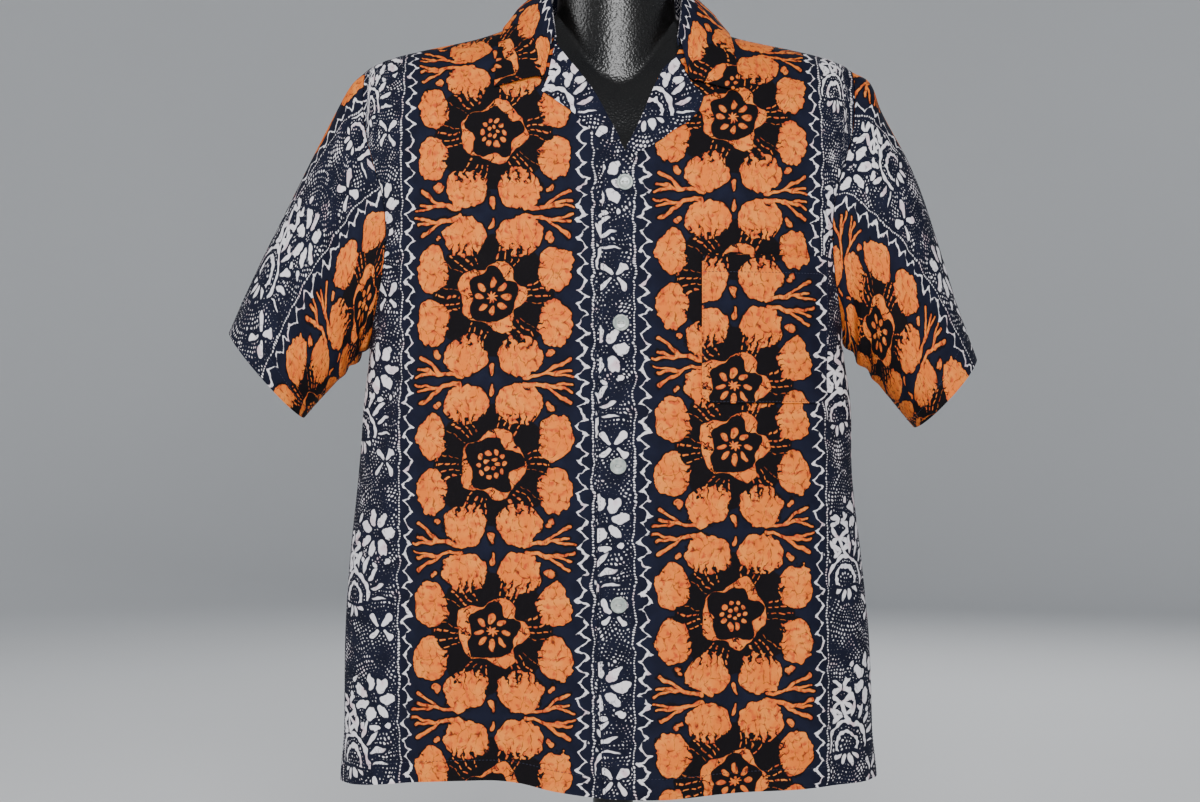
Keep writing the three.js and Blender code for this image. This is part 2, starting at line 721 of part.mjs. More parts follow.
// One line across the collar: up the stand, over the fold and down the leaf to its edge
function collarLine(share) {
  const hand = share < 0 ? -1 : 1;
  const along = 1 - Math.abs(share);
  const at = (column) => read(COLLAR, 'along', column, along);
  const x = (out) => NECK_CENTRE + hand * out;
  const seam = overMovedOut(x(at('seamOut')), at('seamOver'), CLOTH + SEAM);
  const toAxis = new THREE.Vector3(NECK_CENTRE - seam.x, -seam.y, 0).normalize();
  const fold = seam.clone().addScaledVector(toAxis, at('lean'));
  fold.z += at('rise');
  const line = [];
  for (let i = 0; i < STAND_ROWS; i += 1) line.push(seam.clone().lerp(fold, i / STAND_ROWS));
  const bend = overMovedOut(x(at('bendOut')), at('bendOver'), at('bendLift') + CLOTH + SEAM);
  const turnOver = fold.clone().addScaledVector(toAxis, -COLLAR_TURN_OUT);
  turnOver.z += COLLAR_TURN_UP;
  line.push(fold, turnOver);
  for (let i = 1; i < LEAF_ROWS; i += 1) line.push(turnOver.clone().lerp(bend, i / LEAF_ROWS));
  for (let i = 0; i <= LEAF_ROWS; i += 1) {
    const down = i / LEAF_ROWS;
    const out = THREE.MathUtils.lerp(at('bendOut'), at('edgeOut'), down);
    const over = THREE.MathUtils.lerp(at('bendOver'), at('edgeOver'), down);
    const lift = THREE.MathUtils.lerp(at('bendLift'), 1, down);
    line.push(overMovedOut(x(out), over, lift + CLOTH + SEAM));
  }
  return line;
}

function collarGeometry() {
  const lines = [];
  for (let i = -COLLAR_HALF_COLUMNS; i <= COLLAR_HALF_COLUMNS; i += 1) {
    lines.push(collarLine(i / COLLAR_HALF_COLUMNS));
  }
  return wallGeometry(lines, gridNormals(lines, false));
}

function pocketGeometry() {
  const rows = [];
  for (let r = 0; r <= POCKET_STEPS; r += 1) {
    const v = r / POCKET_STEPS;
    const row = [];
    for (let c = 0; c <= POCKET_STEPS; c += 1) {
      const u = c / POCKET_STEPS;
      const cut = r === 0 && (c === 0 || c === POCKET_STEPS) ? POCKET.corner : 0;
      const x = THREE.MathUtils.lerp(POCKET.left, POCKET.right, u);
      const height = THREE.MathUtils.lerp(POCKET.bottom, POCKET.top, v) + cut;
      row.push(frontMovedOut(x, height, CLOTH + POCKET.lift));
    }
    rows.push(row);
  }
  return wallGeometry(rows, outwardNormals(rows, new THREE.Vector3(0, -1, 0)));
}

function buttonGeometry() {
  const disc = new THREE.Shape();
  disc.absarc(0, 0, BUTTON_RADIUS - BUTTON_ROUND_OUT, 0, 2 * Math.PI);
  for (const sign of [-1, 1]) {
    const hole = new THREE.Path();
    hole.absarc(sign * BUTTON_HOLE_OUT, 0, BUTTON_HOLE_RADIUS + 0.2, 0, 2 * Math.PI, true);
    disc.holes.push(hole);
  }
  return new THREE.ExtrudeGeometry(disc, {
    depth: BUTTON_THICK - 2 * BUTTON_ROUND_UP,
    bevelEnabled: true,
    bevelSize: BUTTON_ROUND_OUT,
    bevelThickness: BUTTON_ROUND_UP,
    bevelSegments: 1,
    curveSegments: BUTTON_SEGMENTS,
  });
}

// Seats a button on the front that laps over, facing out
function placeButton(mesh, { x, height }) {
  const seat = frontMovedOut(x, height, 0);
  const out = frontMovedOut(x, height, 1).sub(seat);
  mesh.quaternion.setFromUnitVectors(new THREE.Vector3(0, 0, 1), out);
  mesh.position.copy(seat).addScaledVector(out, LAP_LIFT + 2 * SEAM + BUTTON_ROUND_UP / 2);
}

// Height of the form's upper side over a place in plan
function formTop(x, y) {
  const wide = FORM[FORM.length - 1].halfWidth;
  const out = Math.min(Math.abs(x - SHOULDER_CENTRE) / wide, 1);
  const side = y < 0 ? -1 : 1;
  const chest = y < 0 ? FORM[FORM.length - 1].front : FORM[FORM.length - 1].back;
  const deep = Math.max(chest * (1 - out ** SECTION_POWER) ** (1 / SECTION_POWER), 0.001);
  const ridge = (ridgeHeight(x) - FORM_CLEAR - UNDERARM) * (1 - out ** 12) ** 0.25;
  const roll = Math.max(1 - (Math.abs(y) / deep) ** 2, 0) ** (1 / rounding(side));
  const { smoothstep } = THREE.MathUtils;
  const hump = (width) => Math.exp(-(((x - NECK_CENTRE) / width) ** 2));
  const fade = 1 - smoothstep(-y, THROAT.fadeFrom, THROAT.fadeTo);
  const throat = THROAT.dip * hump(THROAT.width) * smoothstep(-y, THROAT.from, THROAT.deep) * fade;
  const nape = NAPE.dip * hump(NAPE.width) * smoothstep(y, 0, NAPE.deep);
  return UNDERARM + ridge * roll - throat - nape;
}

function formRing(halfWidth, front, back, turn) {
  const across = signedPower(Math.cos(turn), 2 / SECTION_POWER);
  const deep = signedPower(Math.sin(turn), 2 / SECTION_POWER);
  return new THREE.Vector2(SHOULDER_CENTRE + halfWidth * across, (deep < 0 ? front : back) * deep);
}

function formRings() {
  const turns = Array.from({ length: FORM_AROUND }, (_, i) => (i / FORM_AROUND) * 2 * Math.PI);
  const rings = [];
  const at = (column, height) => read(FORM, 'height', column, height);
  const bottom = FORM[0].height;
  for (let k = 0; k < FORM_LOW_RINGS; k += 1) {
    const climb = (k - 1) / (FORM_LOW_RINGS - 1);
    const height = k === 0 ? bottom : THREE.MathUtils.lerp(FORM[1].height, UNDERARM, climb);
    rings.push(turns.map((turn) => {
      const p = formRing(at('halfWidth', height), at('front', height), at('back', height), turn);
      return new THREE.Vector3(p.x, p.y, height);
    }));
  }
  const chest = FORM[FORM.length - 1];
  const neckPoint = (turn, shrink) => new THREE.Vector2(
    NECK_CENTRE + NECK.halfWidth * shrink * Math.cos(turn),
    (Math.sin(turn) < 0 ? NECK.front : NECK.back) * shrink * Math.sin(turn),
  );
  for (let k = 0; k <= FORM_UPPER_RINGS; k += 1) {
    const inwards = 1 - Math.cos((k / FORM_UPPER_RINGS) * HALF_TURN);
    rings.push(turns.map((turn) => {
      const outer = formRing(chest.halfWidth, chest.front, chest.back, turn);
      const p = outer.lerp(neckPoint(turn, 1), inwards);
      return new THREE.Vector3(p.x, p.y, k === 0 ? UNDERARM : formTop(p.x, p.y));
    }));
  }
  const foot = rings[rings.length - 1];
  for (let k = 1; k <= NECK.rings; k += 1) {
    const up = k / NECK.rings;
    const shrink = THREE.MathUtils.lerp(1, NECK.topShrink, Math.sqrt(up));
    rings.push(turns.map((turn, i) => {
      const p = neckPoint(turn, shrink);
      return new THREE.Vector3(p.x, p.y, THREE.MathUtils.lerp(foot[i].z, NECK.top, up));
    }));
  }
  return rings;
}

// The form is solid: rings joined up, with a flat cap at each end
function formGeometry() {
  const rings = formRings();
  const points = rings.flat();
  const index = (r, c) => r * FORM_AROUND + c;
  const triangles = cellTriangles(index, rings.length, FORM_AROUND, true, false);
  const capAt = (r, height, turned) => {
    const hub = points.push(new THREE.Vector3(0, 0, height)) - 1;
    for (let c = 0; c < FORM_AROUND; c += 1) {
      const next = (c + 1) % FORM_AROUND;
      triangles.push(...(turned ? [hub, index(r, next), index(r, c)] : [hub, index(r, c), index(r, next)]));
    }
  };
  capAt(0, FORM[0].height, true);
  capAt(rings.length - 1, NECK.top, false);
  return closedGeometry(points, triangles);
}

function poleGeometry() {
  const length = HEM_LEVEL + FORM[0].height - BASE_THICK - 2 * SEAM;
  const pole = new THREE.CylinderGeometry(POLE_RADIUS, POLE_RADIUS, length, ROUND_SIDES);
  pole.rotateX(HALF_TURN);
  pole.translate(0, 0, BASE_THICK + SEAM + length / 2);
  return pole;
}

function baseGeometry() {
  const profile = [
    new THREE.Vector2(0, 0),
    new THREE.Vector2(BASE_RADIUS, 0),
    new THREE.Vector2(BASE_RADIUS, BASE_THICK - BASE_EDGE),
    new THREE.Vector2(BASE_RADIUS - BASE_EDGE, BASE_THICK),
    new THREE.Vector2(0, BASE_THICK),
  ];
  const base = new THREE.LatheGeometry(profile, ROUND_SIDES);
  base.rotateX(HALF_TURN);
  return base;
}

// Finishes
const LOOKS = {
  cloth: { color: 0x242844, roughness: 0.85, metalness: 0 },
  turned: { color: 0x2b2f4c, roughness: 0.85, metalness: 0 },
  shell: { color: 0xcdd4d4, roughness: 0.25, metalness: 0 },
  form: { color: 0x0c0c0c, roughness: 0.3, metalness: 0 },
  stand: { color: 0x101010, roughness: 0.35, metalness: 0.6 },
};

const group = new THREE.Group();
const garment = new THREE.Group();
garment.position.z = HEM_LEVEL;
group.add(garment);

function addPiece(parent, name, geometry, look) {
  const mesh = new THREE.Mesh(geometry, new THREE.MeshStandardMaterial(LOOKS[look]));
  mesh.name = name;
  parent.add(mesh);
  return mesh;
}

function addPanel(name, grid, side) {
  const normals = outwardNormals(grid, new THREE.Vector3(0, side, 0));
  addPiece(garment, name, wallGeometry(grid, normals, { hold: onSide(side) }), 'cloth');
}

const rightFront = frontGrid(-1, () => UNDER_EDGE_X, ROLL_RIGHT, () => 0);
const leftFront = frontGrid(1, (height) => read(LAP_EDGE, 'height', 'x', height), ROLL_LEFT, lapLift);
const back = backGrid();
addPanel('shirt_front_right', rightFront, -1);
addPanel('shirt_front_left', leftFront, -1);
addPanel('shirt_back', back, 1);

const rightSleeve = sleeveGeometry(SLEEVE_RIGHT, -1, armholeLoop(rightFront, back, -1));
const leftSleeve = sleeveGeometry(SLEEVE_LEFT, 1, armholeLoop(leftFront, back, 1));
addPiece(garment, 'sleeve_right', rightSleeve, 'cloth');
addPiece(garment, 'sleeve_left', leftSleeve, 'cloth');

addPiece(garment, 'collar', collarGeometry(), 'cloth');
addPiece(garment, 'lapel_right', lapelGeometry(LAPEL_RIGHT), 'turned');
addPiece(garment, 'lapel_left', lapelGeometry(LAPEL_LEFT), 'turned');
addPiece(garment, 'pocket', pocketGeometry(), 'cloth');
BUTTONS.forEach((button, i) => {
  placeButton(addPiece(garment, `button_${i + 1}`, buttonGeometry(), 'shell'), button);
});

addPiece(garment, 'form_torso', formGeometry(), 'form');
addPiece(group, 'stand_pole', poleGeometry(), 'stand');
addPiece(group, 'stand_base', baseGeometry(), 'stand');

export default group;
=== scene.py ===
import math

import bmesh
import bpy
import numpy as np
from mathutils import Matrix, Vector


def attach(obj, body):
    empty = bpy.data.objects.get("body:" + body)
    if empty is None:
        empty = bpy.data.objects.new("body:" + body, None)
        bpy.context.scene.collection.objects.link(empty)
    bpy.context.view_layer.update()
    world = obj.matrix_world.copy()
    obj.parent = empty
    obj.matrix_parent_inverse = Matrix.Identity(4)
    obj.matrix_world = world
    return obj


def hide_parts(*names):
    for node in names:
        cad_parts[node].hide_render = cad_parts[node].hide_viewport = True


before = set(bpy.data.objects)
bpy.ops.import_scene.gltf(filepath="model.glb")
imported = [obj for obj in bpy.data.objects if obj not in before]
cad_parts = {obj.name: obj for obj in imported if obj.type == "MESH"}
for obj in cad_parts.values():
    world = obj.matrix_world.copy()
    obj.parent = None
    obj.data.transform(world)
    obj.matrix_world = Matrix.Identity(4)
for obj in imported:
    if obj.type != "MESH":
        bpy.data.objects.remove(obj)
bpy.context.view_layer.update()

# A short-sleeved camp shirt on a limbless display form.
# Shapes are worked out in millimetres; heights are measured up from the hem.
# The front faces -Y and +X is the wearer's left.
HEM_LEVEL = 150
MM = 0.001
CLOTH = 1.5
SEAM = 0.3
WALL = 0.9
THIN_WALL = 1.2
UNDERARM = 412
SECTION_POWER = 2.5
FRONT_ROUNDING = 2.4
BACK_ROUNDING = 4
SHOULDER_CENTRE = -4
NECK_CENTRE = 3
NECK_SEAM_OUT = 68
SHOULDER_TIP = 229
VENT_HEIGHT = 52
VENT_FLARE = 4
VENT_SPREAD = 2
VENT_FROM = 0.85
FOLD_FADE = 6
UNDER_EDGE_X = 21
LAP_LIFT = 2.6
LAP_FLAT_TO = 28
LAP_FADE_TO = 72
ROWS_HIGH = 13
ROWS_LOW = 74
ROWS_UP = 78
ROW_CROWDING = 1.3
BACK_HEM_SHARE = 0.5
BACK_NECK_OVER = 0.64
BACK_NECK_SHARE = 0.3
SLEEVE_CROWDING = 1.25
ARMHOLE_GAP = 0.8
LAPEL_BULGE = 3
COLLAR_TURN_OUT = 2.2
COLLAR_TURN_UP = 1.6
FORM_CLEAR = CLOTH + 0.7
THROAT = dict(dip=38, width=42, start=10, deep=55, fade_from=75, fade_to=102)
NAPE = dict(dip=4, width=100, deep=8)
NECK = dict(top=800, half_width=57, front=57, back=52, top_shrink=0.93)
POLE_RADIUS = 19
BASE_RADIUS = 150
BASE_THICK = 9
BASE_EDGE = 3
QUARTER = math.pi / 2


def table(columns, rows):
    """A table as named columns."""
    return {name: np.array([row[i] for row in rows], float) for i, name in enumerate(columns.split())}


BODY = table("height centre half_width front back", [
    (-10, -4, 249, 104, 92),
    (130, -5.5, 246.5, 107, 95),
    (204, -7, 241, 109, 99),
    (281, -7.5, 232.6, 111, 102),
    (345, -6, 228, 112, 104),
    (412, -6.5, 222, 112, 106),
    (500, -4, 229, 112, 106),
    (575, -4, 243, 112, 106),
    (640, -4, 254, 112, 106),
    (740, -4, 258, 112, 106),
])
SHOULDER = table("out height", [
    (0, 735), (50, 722), (70, 716.5), (100, 705), (125, 697),
    (177, 686), (205, 679), (222, 672), (229, 667), (245, 655),
])
ARMHOLE = table("height front back", [
    (412, 222, 222), (418, 220, 221), (430, 217.5, 219.5), (445, 214, 217),
    (467, 209, 214), (500, 205, 211), (528, 205.5, 211), (550, 209, 213),
    (575, 217, 219), (605, 225, 225), (637, 228.5, 228.5), (667, 229, 229),
])
HEM = table("x rise", [
    (-253, 0), (-205, 6), (-172, 11), (-118, 14), (-88, 12), (-55, 5),
    (-10, -1), (45, -2), (100, 2), (195, 4.5), (245, 4),
])
# side, x, width, depth, top of each soft fold that hangs to the hem
FOLDS = [
    (-1, -200, 26, -5, 320), (-1, -150, 28, 4, 300), (-1, -92, 30, -4, 240),
    (-1, 62, 34, 3, 260), (-1, 118, 30, -4, 280), (-1, 166, 28, 4, 330),
    (-1, 208, 24, -6, 380), (1, -160, 32, 6, 360), (1, -92, 34, -5, 330),
    (1, -14, 36, 5, 380), (1, 70, 32, -5, 340), (1, 150, 34, 6, 370),
]
LAP_EDGE = table("height x", [
    (-10, -9), (90, -13), (173, -15), (298, -14), (426, -12.3), (570, -9.6),
])
ROLL_RIGHT = [(21, 563), (8, 586), (-4, 611), (-16, 634), (-30, 654), (-41, 668),
              (-50, 681), (-54, 692), (-60, 706)]
ROLL_LEFT = [(-9.6, 570), (9, 580), (17, 596), (25, 613), (36, 640), (45, 659),
             (57, 672), (64, 690), (68, 706)]
LAPEL_RIGHT = dict(
    lift=0,
    roll=[(-52.5, 685), (-49, 679), (-41, 668), (-30, 654), (-16, 634), (-4, 611), (6, 592)],
    gorge=[(-52.5, 685), (-59, 649), (-65, 637)],
    lower=[(-65, 637), (-52, 628), (-36, 616), (-27, 607), (-14, 594), (-2, 589)],
)
LAPEL_LEFT = dict(
    lift=1,
    roll=[(57, 669), (45, 657), (36, 639), (25, 612), (17, 595), (11, 584)],
    gorge=[(57, 669), (70, 644), (82, 633)],
    lower=[(82, 633), (77, 619), (68, 609), (54, 600), (43, 591), (30, 583), (20, 578)],
)
COLLAR = table("along seam_out seam_over rise lean bend_out bend_over bend_lift edge_out edge_over", [
    (0, 57, 0.66, 5, 1, 66, 0.53, 2.6, 111, 0.54),
    (0.13, 62, 0.76, 14, 3, 79, 0.67, 6, 109, 0.67),
    (0.27, 66, 0.88, 22, 5, 85, 0.83, 9, 105, 0.83),
    (0.42, 68, 1, 29, 7, 86, 1, 12, 101, 1.01),
    (0.6, 61, 1.15, 35, 6, 76, 1.18, 13, 90, 1.22),
    (0.8, 36, 1.28, 40, 3, 45, 1.33, 13, 55, 1.38),
    (1, 0, 1.33, 42, 1, 0, 1.38, 12.5, 0, 1.44),
    (1.2, -36, 1.28, 40, 3, -45, 1.33, 13, -55, 1.38),
])
SLEEVE_RIGHT = table("along out_top high_top out_under high_under front back", [
    (0, 228, 667, 222, 412, 60, 70),
    (0.06, 241, 655, 227, 405, 62, 71),
    (0.18, 255, 628, 235, 397, 64, 71),
    (0.4, 288, 566, 250, 381, 65, 69),
    (0.65, 319, 505, 267, 363, 62, 65),
    (0.85, 340, 460, 279, 350, 59, 62),
    (1, 357.5, 421, 288, 340, 57, 61),
])
SLEEVE_LEFT = table("along out_top high_top out_under high_under front back", [
    (0, 228, 667, 222, 412, 60, 70),
    (0.06, 245, 657, 226, 407, 63, 72),
    (0.18, 256, 629, 234, 397, 66, 73),
    (0.4, 286, 570, 250, 378, 69, 74),
    (0.65, 310, 503, 266, 359, 69, 73),
    (0.85, 328, 447, 279, 343, 67, 71),
    (1, 346, 397, 289, 331, 66, 70),
])
POCKET = dict(left=79, right=195, bottom=354, top=488, corner=5, lift=1.2, inset=1.6, hem=16)
BUTTONS = [(10, 552), (6.4, 426), (4, 298), (4.6, 173.5)]
BUTTON_THICK = 2.2
BUTTON_OUTLINE = [(0, -1.1), (5.6, -1.1), (6.7, -0.75), (7.25, -0.1), (7.35, 0.3), (7.15, 0.78), (6.7, 1.05),
                  (6.1, 1.1), (5.6, 0.95), (5.2, 0.6), (4.6, 0.32), (3.8, 0.2), (0, 0.15)]
BUTTON_HOLE_OUT = 1.85
BUTTON_HOLE_RADIUS = 0.95
FORM = table("height half_width front back", [
    (18, 166, 80, 76), (26, 173, 86, 82), (70, 176, 90, 86), (140, 168, 90, 84),
    (230, 166, 91, 84), (330, 188, 99, 92), (412, 206, 104, 97),
])
# where, width, depth and top of the soft creases that hang down the body; they wander a little
FRONT_CREASES = [
    (-172, 12, 3.8, 410), (-140, 11, -2.6, 330), (-64, 15, -2.6, 320), (56, 14, 2.8, 290),
    (146, 13, -3.2, 420), (184, 11, 3.6, 400), (112, 15, 2.2, 250),
]
BACK_CREASES = [
    (-176, 13, 4, 430), (-118, 15, -3, 380), (-48, 16, 3.2, 330), (34, 15, -3, 400),
    (104, 16, 3.4, 350), (172, 12, -3.4, 420),
]
# start and slope across, level and slope up, then depth, shift, width, middle, span and fade of the
# lines that drag from the shoulders and fall from the underarms
FRONT_DRAGS = [
    (205, 0.55, 560, 0.2, 2.8, 0, 9, 560, 62, (120, 190)),
    (205, 0.55, 560, 0.2, -1.6, -19, 8, 545, 58, (110, 185)),
    (205, 1, 412, 0.22, 3.0, 4, 9, 370, 60, None),
    (205, 1, 412, 0.22, -2.4, -14, 8, 360, 62, None),
    (205, 1, 412, 0.22, 1.8, -34, 10, 330, 70, None),
]
BACK_DRAGS = [
    (190, 0.6, 520, 0.25, 2.6, 0, 10, 520, 80, (100, 180)),
    (190, 0.6, 520, 0.25, -1.8, -22, 9, 500, 75, (95, 170)),
    (200, 1, 412, 0.25, 3.0, 2, 10, 360, 62, None),
    (200, 1, 412, 0.25, -2.2, -18, 9, 350, 60, None),
]
# The print: a batik stripe of flowers between dotted panels, worked out by shader maths
PRINT_WIDE = 263
PRINT_HIGH = 151
NAVY = (0.0052, 0.0062, 0.0165)
NAVY_WORN = (0.0085, 0.0105, 0.026)
INK = (0.0045, 0.0032, 0.0045)
ORANGE = (0.84, 0.19, 0.022)
ORANGE_DEEP = (0.62, 0.085, 0.022)
ORANGE_PALE = (0.9, 0.26, 0.04)
WHITE = (0.84, 0.8, 0.83)
WHITE_PINK = (0.72, 0.55, 0.6)
# where the middle of a flower lies on each piece, or half a print away from a panel's middle
PRINT_PLACE = {
    "front_right": (-109.5, 299 - PRINT_HIGH), "front_left": (109.5, 315), "back": (PRINT_WIDE / 2, 300),
    "sleeve_right": (58 - PRINT_WIDE / 2, -40), "sleeve_left": (58 - PRINT_WIDE / 2, -95),
    "collar": (89.5, 30), "pocket": (108, 369),
    "lapel_right": (-42 - PRINT_WIDE / 2, 590), "lapel_left": (47 - PRINT_WIDE / 2, 590),
}
# how far each sleeve's print leans across, at its top and at its hem
SLEEVE_LEAN = {"sleeve_right": (36, -6), "sleeve_left": (44, -46)}
# the tables that measure flat cloth: reach, depth below the hem, rows, columns and steps
MAP_REACH = 262
MAP_BELOW = 10
MAP_ROWS = 24
STEEP_MOST = 6
CURVE_COLUMNS = 132
CURVE_STEPS = 160
SHOULDER_REACH = (-232, 226)
ROUND_FROM = 165
# how near a seam creases start to fade and are gone
SEAM_CALM = (9, 32)
# the photo's focal length and width in its own pixels, and the studio
PHOTO_FOCAL = 2222
PHOTO_WIDE = 1200
SENSOR = 36
FLOOR_FLAT = 3500
FLOOR_BEND = 1500
FLOOR_TOP = 2600
# sewing
HEM_FOLD = 19
EDGE_SEWN_TO = 558
CUFF_FOLD = 20
VENT_INSET = 11
EDGE_INSET = 2.2
LEAF_INSET = 5
STITCH_PITCH = 3.3
STITCH_LONG = 2.5
STITCH_RADIUS = 0.3


def read(rows, by, column, at):
    """Reads one column of a table smoothly between its rows."""
    x, y = rows[by], rows[column]
    last = len(x) - 1
    at = np.clip(np.asarray(at, float), x[0], x[-1])
    i = np.searchsorted(x[1:-1], at, "left")
    before, after = np.maximum(i - 1, 0), np.minimum(i + 2, last)
    span = x[i + 1] - x[i]
    low_slope = (y[i + 1] - y[before]) / (x[i + 1] - x[before]) * span
    high_slope = (y[after] - y[i]) / (x[after] - x[i]) * span
    t = (at - x[i]) / span
    t2, t3 = t * t, t * t * t
    return ((2 * t3 - 3 * t2 + 1) * y[i] + (t3 - 2 * t2 + t) * low_slope
            + (3 * t2 - 2 * t3) * y[i + 1] + (t3 - t2) * high_slope)


def body(column, height):
    return read(BODY, "height", column, height)


def smoothstep(x, low, high):
    t = np.clip((np.asarray(x, float) - low) / (high - low), 0, 1)
    return t * t * (3 - 2 * t)


def lerp(a, b, t):
    return a + (b - a) * t


def hump(x, centre, width):
    return np.exp(-((np.asarray(x, float) - centre) / width) ** 2)


def ridge_height(x):
    return read(SHOULDER, "out", "height", np.abs(x - SHOULDER_CENTRE))


def fold_depth(x, height, side):
    depth = 0
    for where, centre, width, deep, top in FOLDS:
        if where == side:
            depth = depth + deep * hump(x, centre, width) * smoothstep(top - height, 0, top)
    return depth


def section_depth(x, height, side):
    out = np.minimum(np.abs(x - body("centre", height)) / body("half_width", height), 1)
    bulge = body("front" if side < 0 else "back", height) * (1 - out ** SECTION_POWER) ** (1 / SECTION_POWER)
    return bulge + fold_depth(x, height, side) * (1 - out ** FOLD_FADE)


def lap_lift(x):
    return LAP_LIFT * (1 - smoothstep(x, LAP_FLAT_TO, LAP_FADE_TO))


def rounding(side):
    return FRONT_ROUNDING if side < 0 else BACK_ROUNDING


def stack(x, y, z):
    return np.stack(np.broadcast_arrays(x, y, z), axis=-1).astype(float)


def skin_point(x, height, side):
    climb = np.maximum((height - UNDERARM) / (ridge_height(x) - UNDERARM), 0)
    lean = np.sqrt(np.maximum(1 - climb ** rounding(side), 0))
    return stack(x, side * section_depth(x, height, side) * lean, height)


def climb_point(x, climb, side):
    turn = climb * QUARTER
    rise = np.maximum(np.sin(turn), 0) ** (2 / rounding(side))
    height = UNDERARM + (ridge_height(x) - UNDERARM) * rise
    return stack(x, side * section_depth(x, height, side) * np.cos(turn), height)


def climb_of(x, height, side):
    rise = np.clip((height - UNDERARM) / (ridge_height(x) - UNDERARM), 0, 1)
    return np.arcsin(rise ** (rounding(side) / 2)) / QUARTER


def over_point(x, over):
    front = climb_point(x, np.minimum(over, 1), -1)
    back = climb_point(x, np.minimum(2 - over, 1), 1)
    return np.where((over < 1)[..., None] if np.ndim(over) else over < 1, front, back)


def unit(v):
    return v / np.maximum(np.linalg.norm(v, axis=-1, keepdims=True), 1e-12)


def moved_out(surface, u, v, distance, step_u, step_v):
    u, v = np.broadcast_arrays(np.asarray(u, float), np.asarray(v, float))
    along_u = surface(u + step_u, v) - surface(u - step_u, v)
    along_v = surface(u, v + step_v) - surface(u, v - step_v)
    normal = unit(np.cross(along_u, along_v))
    return surface(u, v) + normal * np.asarray(distance, float)[..., None]


def front_out(x, height, distance):
    return moved_out(lambda u, v: skin_point(u, v, -1), x, height, distance, 1, 1)


def over_out(x, over, distance):
    return moved_out(over_point, x, over, distance, 1, 0.01)


def spline(pairs, t):
    """A smooth line through the given points, read at t from 0 to 1."""
    points = np.array(pairs, float)
    last = len(points) - 1
    place = np.clip(np.asarray(t, float), 0, 1) * last
    i = np.minimum(np.floor(place).astype(int), last)
    w = (place - i)[..., None]
    p0, p1 = points[np.maximum(i - 1, 0)], points[i]
    p2, p3 = points[np.minimum(i + 1, last)], points[np.minimum(i + 2, last)]
    v0, v1 = (p2 - p0) / 2, (p3 - p1) / 2
    return ((2 * p1 - 2 * p2 + v0 + v1) * w ** 3
            + (-3 * p1 + 3 * p2 - 2 * v0 - v1) * w ** 2 + v0 * w + p1)


def even_spline(pairs, t, samples=400):
    """The same line, read by its length."""
    line = spline(pairs, np.linspace(0, 1, samples))
    return along_line(line, t)


def running(steps):
    return np.concatenate([[0], np.cumsum(steps)])


def line_length(line):
    """How far along the line each of its points lies."""
    return running(np.linalg.norm(np.diff(line, axis=0), axis=1))


def along_line(line, t):
    length = line_length(line)
    at = np.clip(np.asarray(t, float), 0, 1) * length[-1]
    return np.stack([np.interp(at, length, line[:, k]) for k in range(line.shape[1])], axis=-1)


def patch(edges, u, v):
    """Fills a four-sided patch smoothly from its edges."""
    u, v = np.broadcast_arrays(np.asarray(u, float), np.asarray(v, float))
    a, b = u[..., None], v[..., None]
    bottom, top, left, right = (edges[k] for k in ("bottom", "top", "left", "right"))
    zero, one = np.zeros(1), np.ones(1)
    return (bottom(u) * (1 - b) + top(u) * b + left(v) * (1 - a) + right(v) * a
            - bottom(zero) * (1 - a) * (1 - b) - bottom(one) * a * (1 - b)
            - top(zero) * (1 - a) * b - top(one) * a * b)


def pair(x, y):
    return np.stack(np.broadcast_arrays(x, y), axis=-1).astype(float)


def edge_by_climb(line, side):
    climb = climb_of(line[:, 0], line[:, 1], side)
    climb[0], climb[-1] = 0, 1
    return lambda t: pair(np.interp(t, climb, line[:, 0]), t)


def armhole_line(hand, side):
    column = ARMHOLE["front" if side < 0 else "back"]
    centre = lerp(body("centre", ARMHOLE["height"]), SHOULDER_CENTRE, 0.5)
    centre[0] = body("centre", UNDERARM)
    pairs = pair(centre + hand * column, ARMHOLE["height"])
    return spline(pairs, np.linspace(0, 1, 400))


def row_climb(k, side):
    rise = np.sin((k / ROWS_HIGH) ** ROW_CROWDING * QUARTER) ** (2 / FRONT_ROUNDING)
    return np.arcsin(np.clip(rise, 0, 1) ** (rounding(side) / 2)) / QUARTER


def section_x(turn, height):
    s = np.sin(turn * QUARTER)
    across = np.sign(s) * np.abs(s) ** (2 / SECTION_POWER)
    return body("centre", height) + body("half_width", height) * across


def section_turn(x, height):
    across = (x - body("centre", height)) / body("half_width", height)
    return np.arcsin(np.sign(across) * np.abs(across) ** (SECTION_POWER / 2)) / QUARTER


def low_point(turn, height, side):
    x = section_x(turn, height)
    point = skin_point(x, height, side)
    vent = (1 - smoothstep(height, 0, VENT_HEIGHT)) * smoothstep(np.abs(turn), VENT_FROM, 1)
    point[..., 0] += np.sign(turn) * VENT_FLARE * vent
    point[..., 1] += side * VENT_SPREAD * vent
    return point


def hem_height(x, side):
    if side < 0:
        return read(HEM, "x", "rise", x)
    return read(HEM, "x", "rise", -x) * BACK_HEM_SHARE


def panel_grid(side, columns, turn_at, edges):
    """Points of one body panel: level rows, then rows that turn to the shoulder."""
    u = np.linspace(0, 1, columns + 1)[None, :]
    j = (np.arange(ROWS_LOW) / ROWS_LOW)[:, None]
    start = hem_height(section_x(turn_at(u, 0), 0), side)
    height = lerp(start, UNDERARM, j)
    low = low_point(turn_at(u, height), height, side)
    k = (np.arange(ROWS_UP + 1) / ROWS_UP * ROWS_HIGH)[:, None]
    spots = patch(edges, u, row_climb(k, side))
    high = climb_point(spots[..., 0], np.clip(spots[..., 1], 0, 1), side)
    return np.concatenate([low, high])


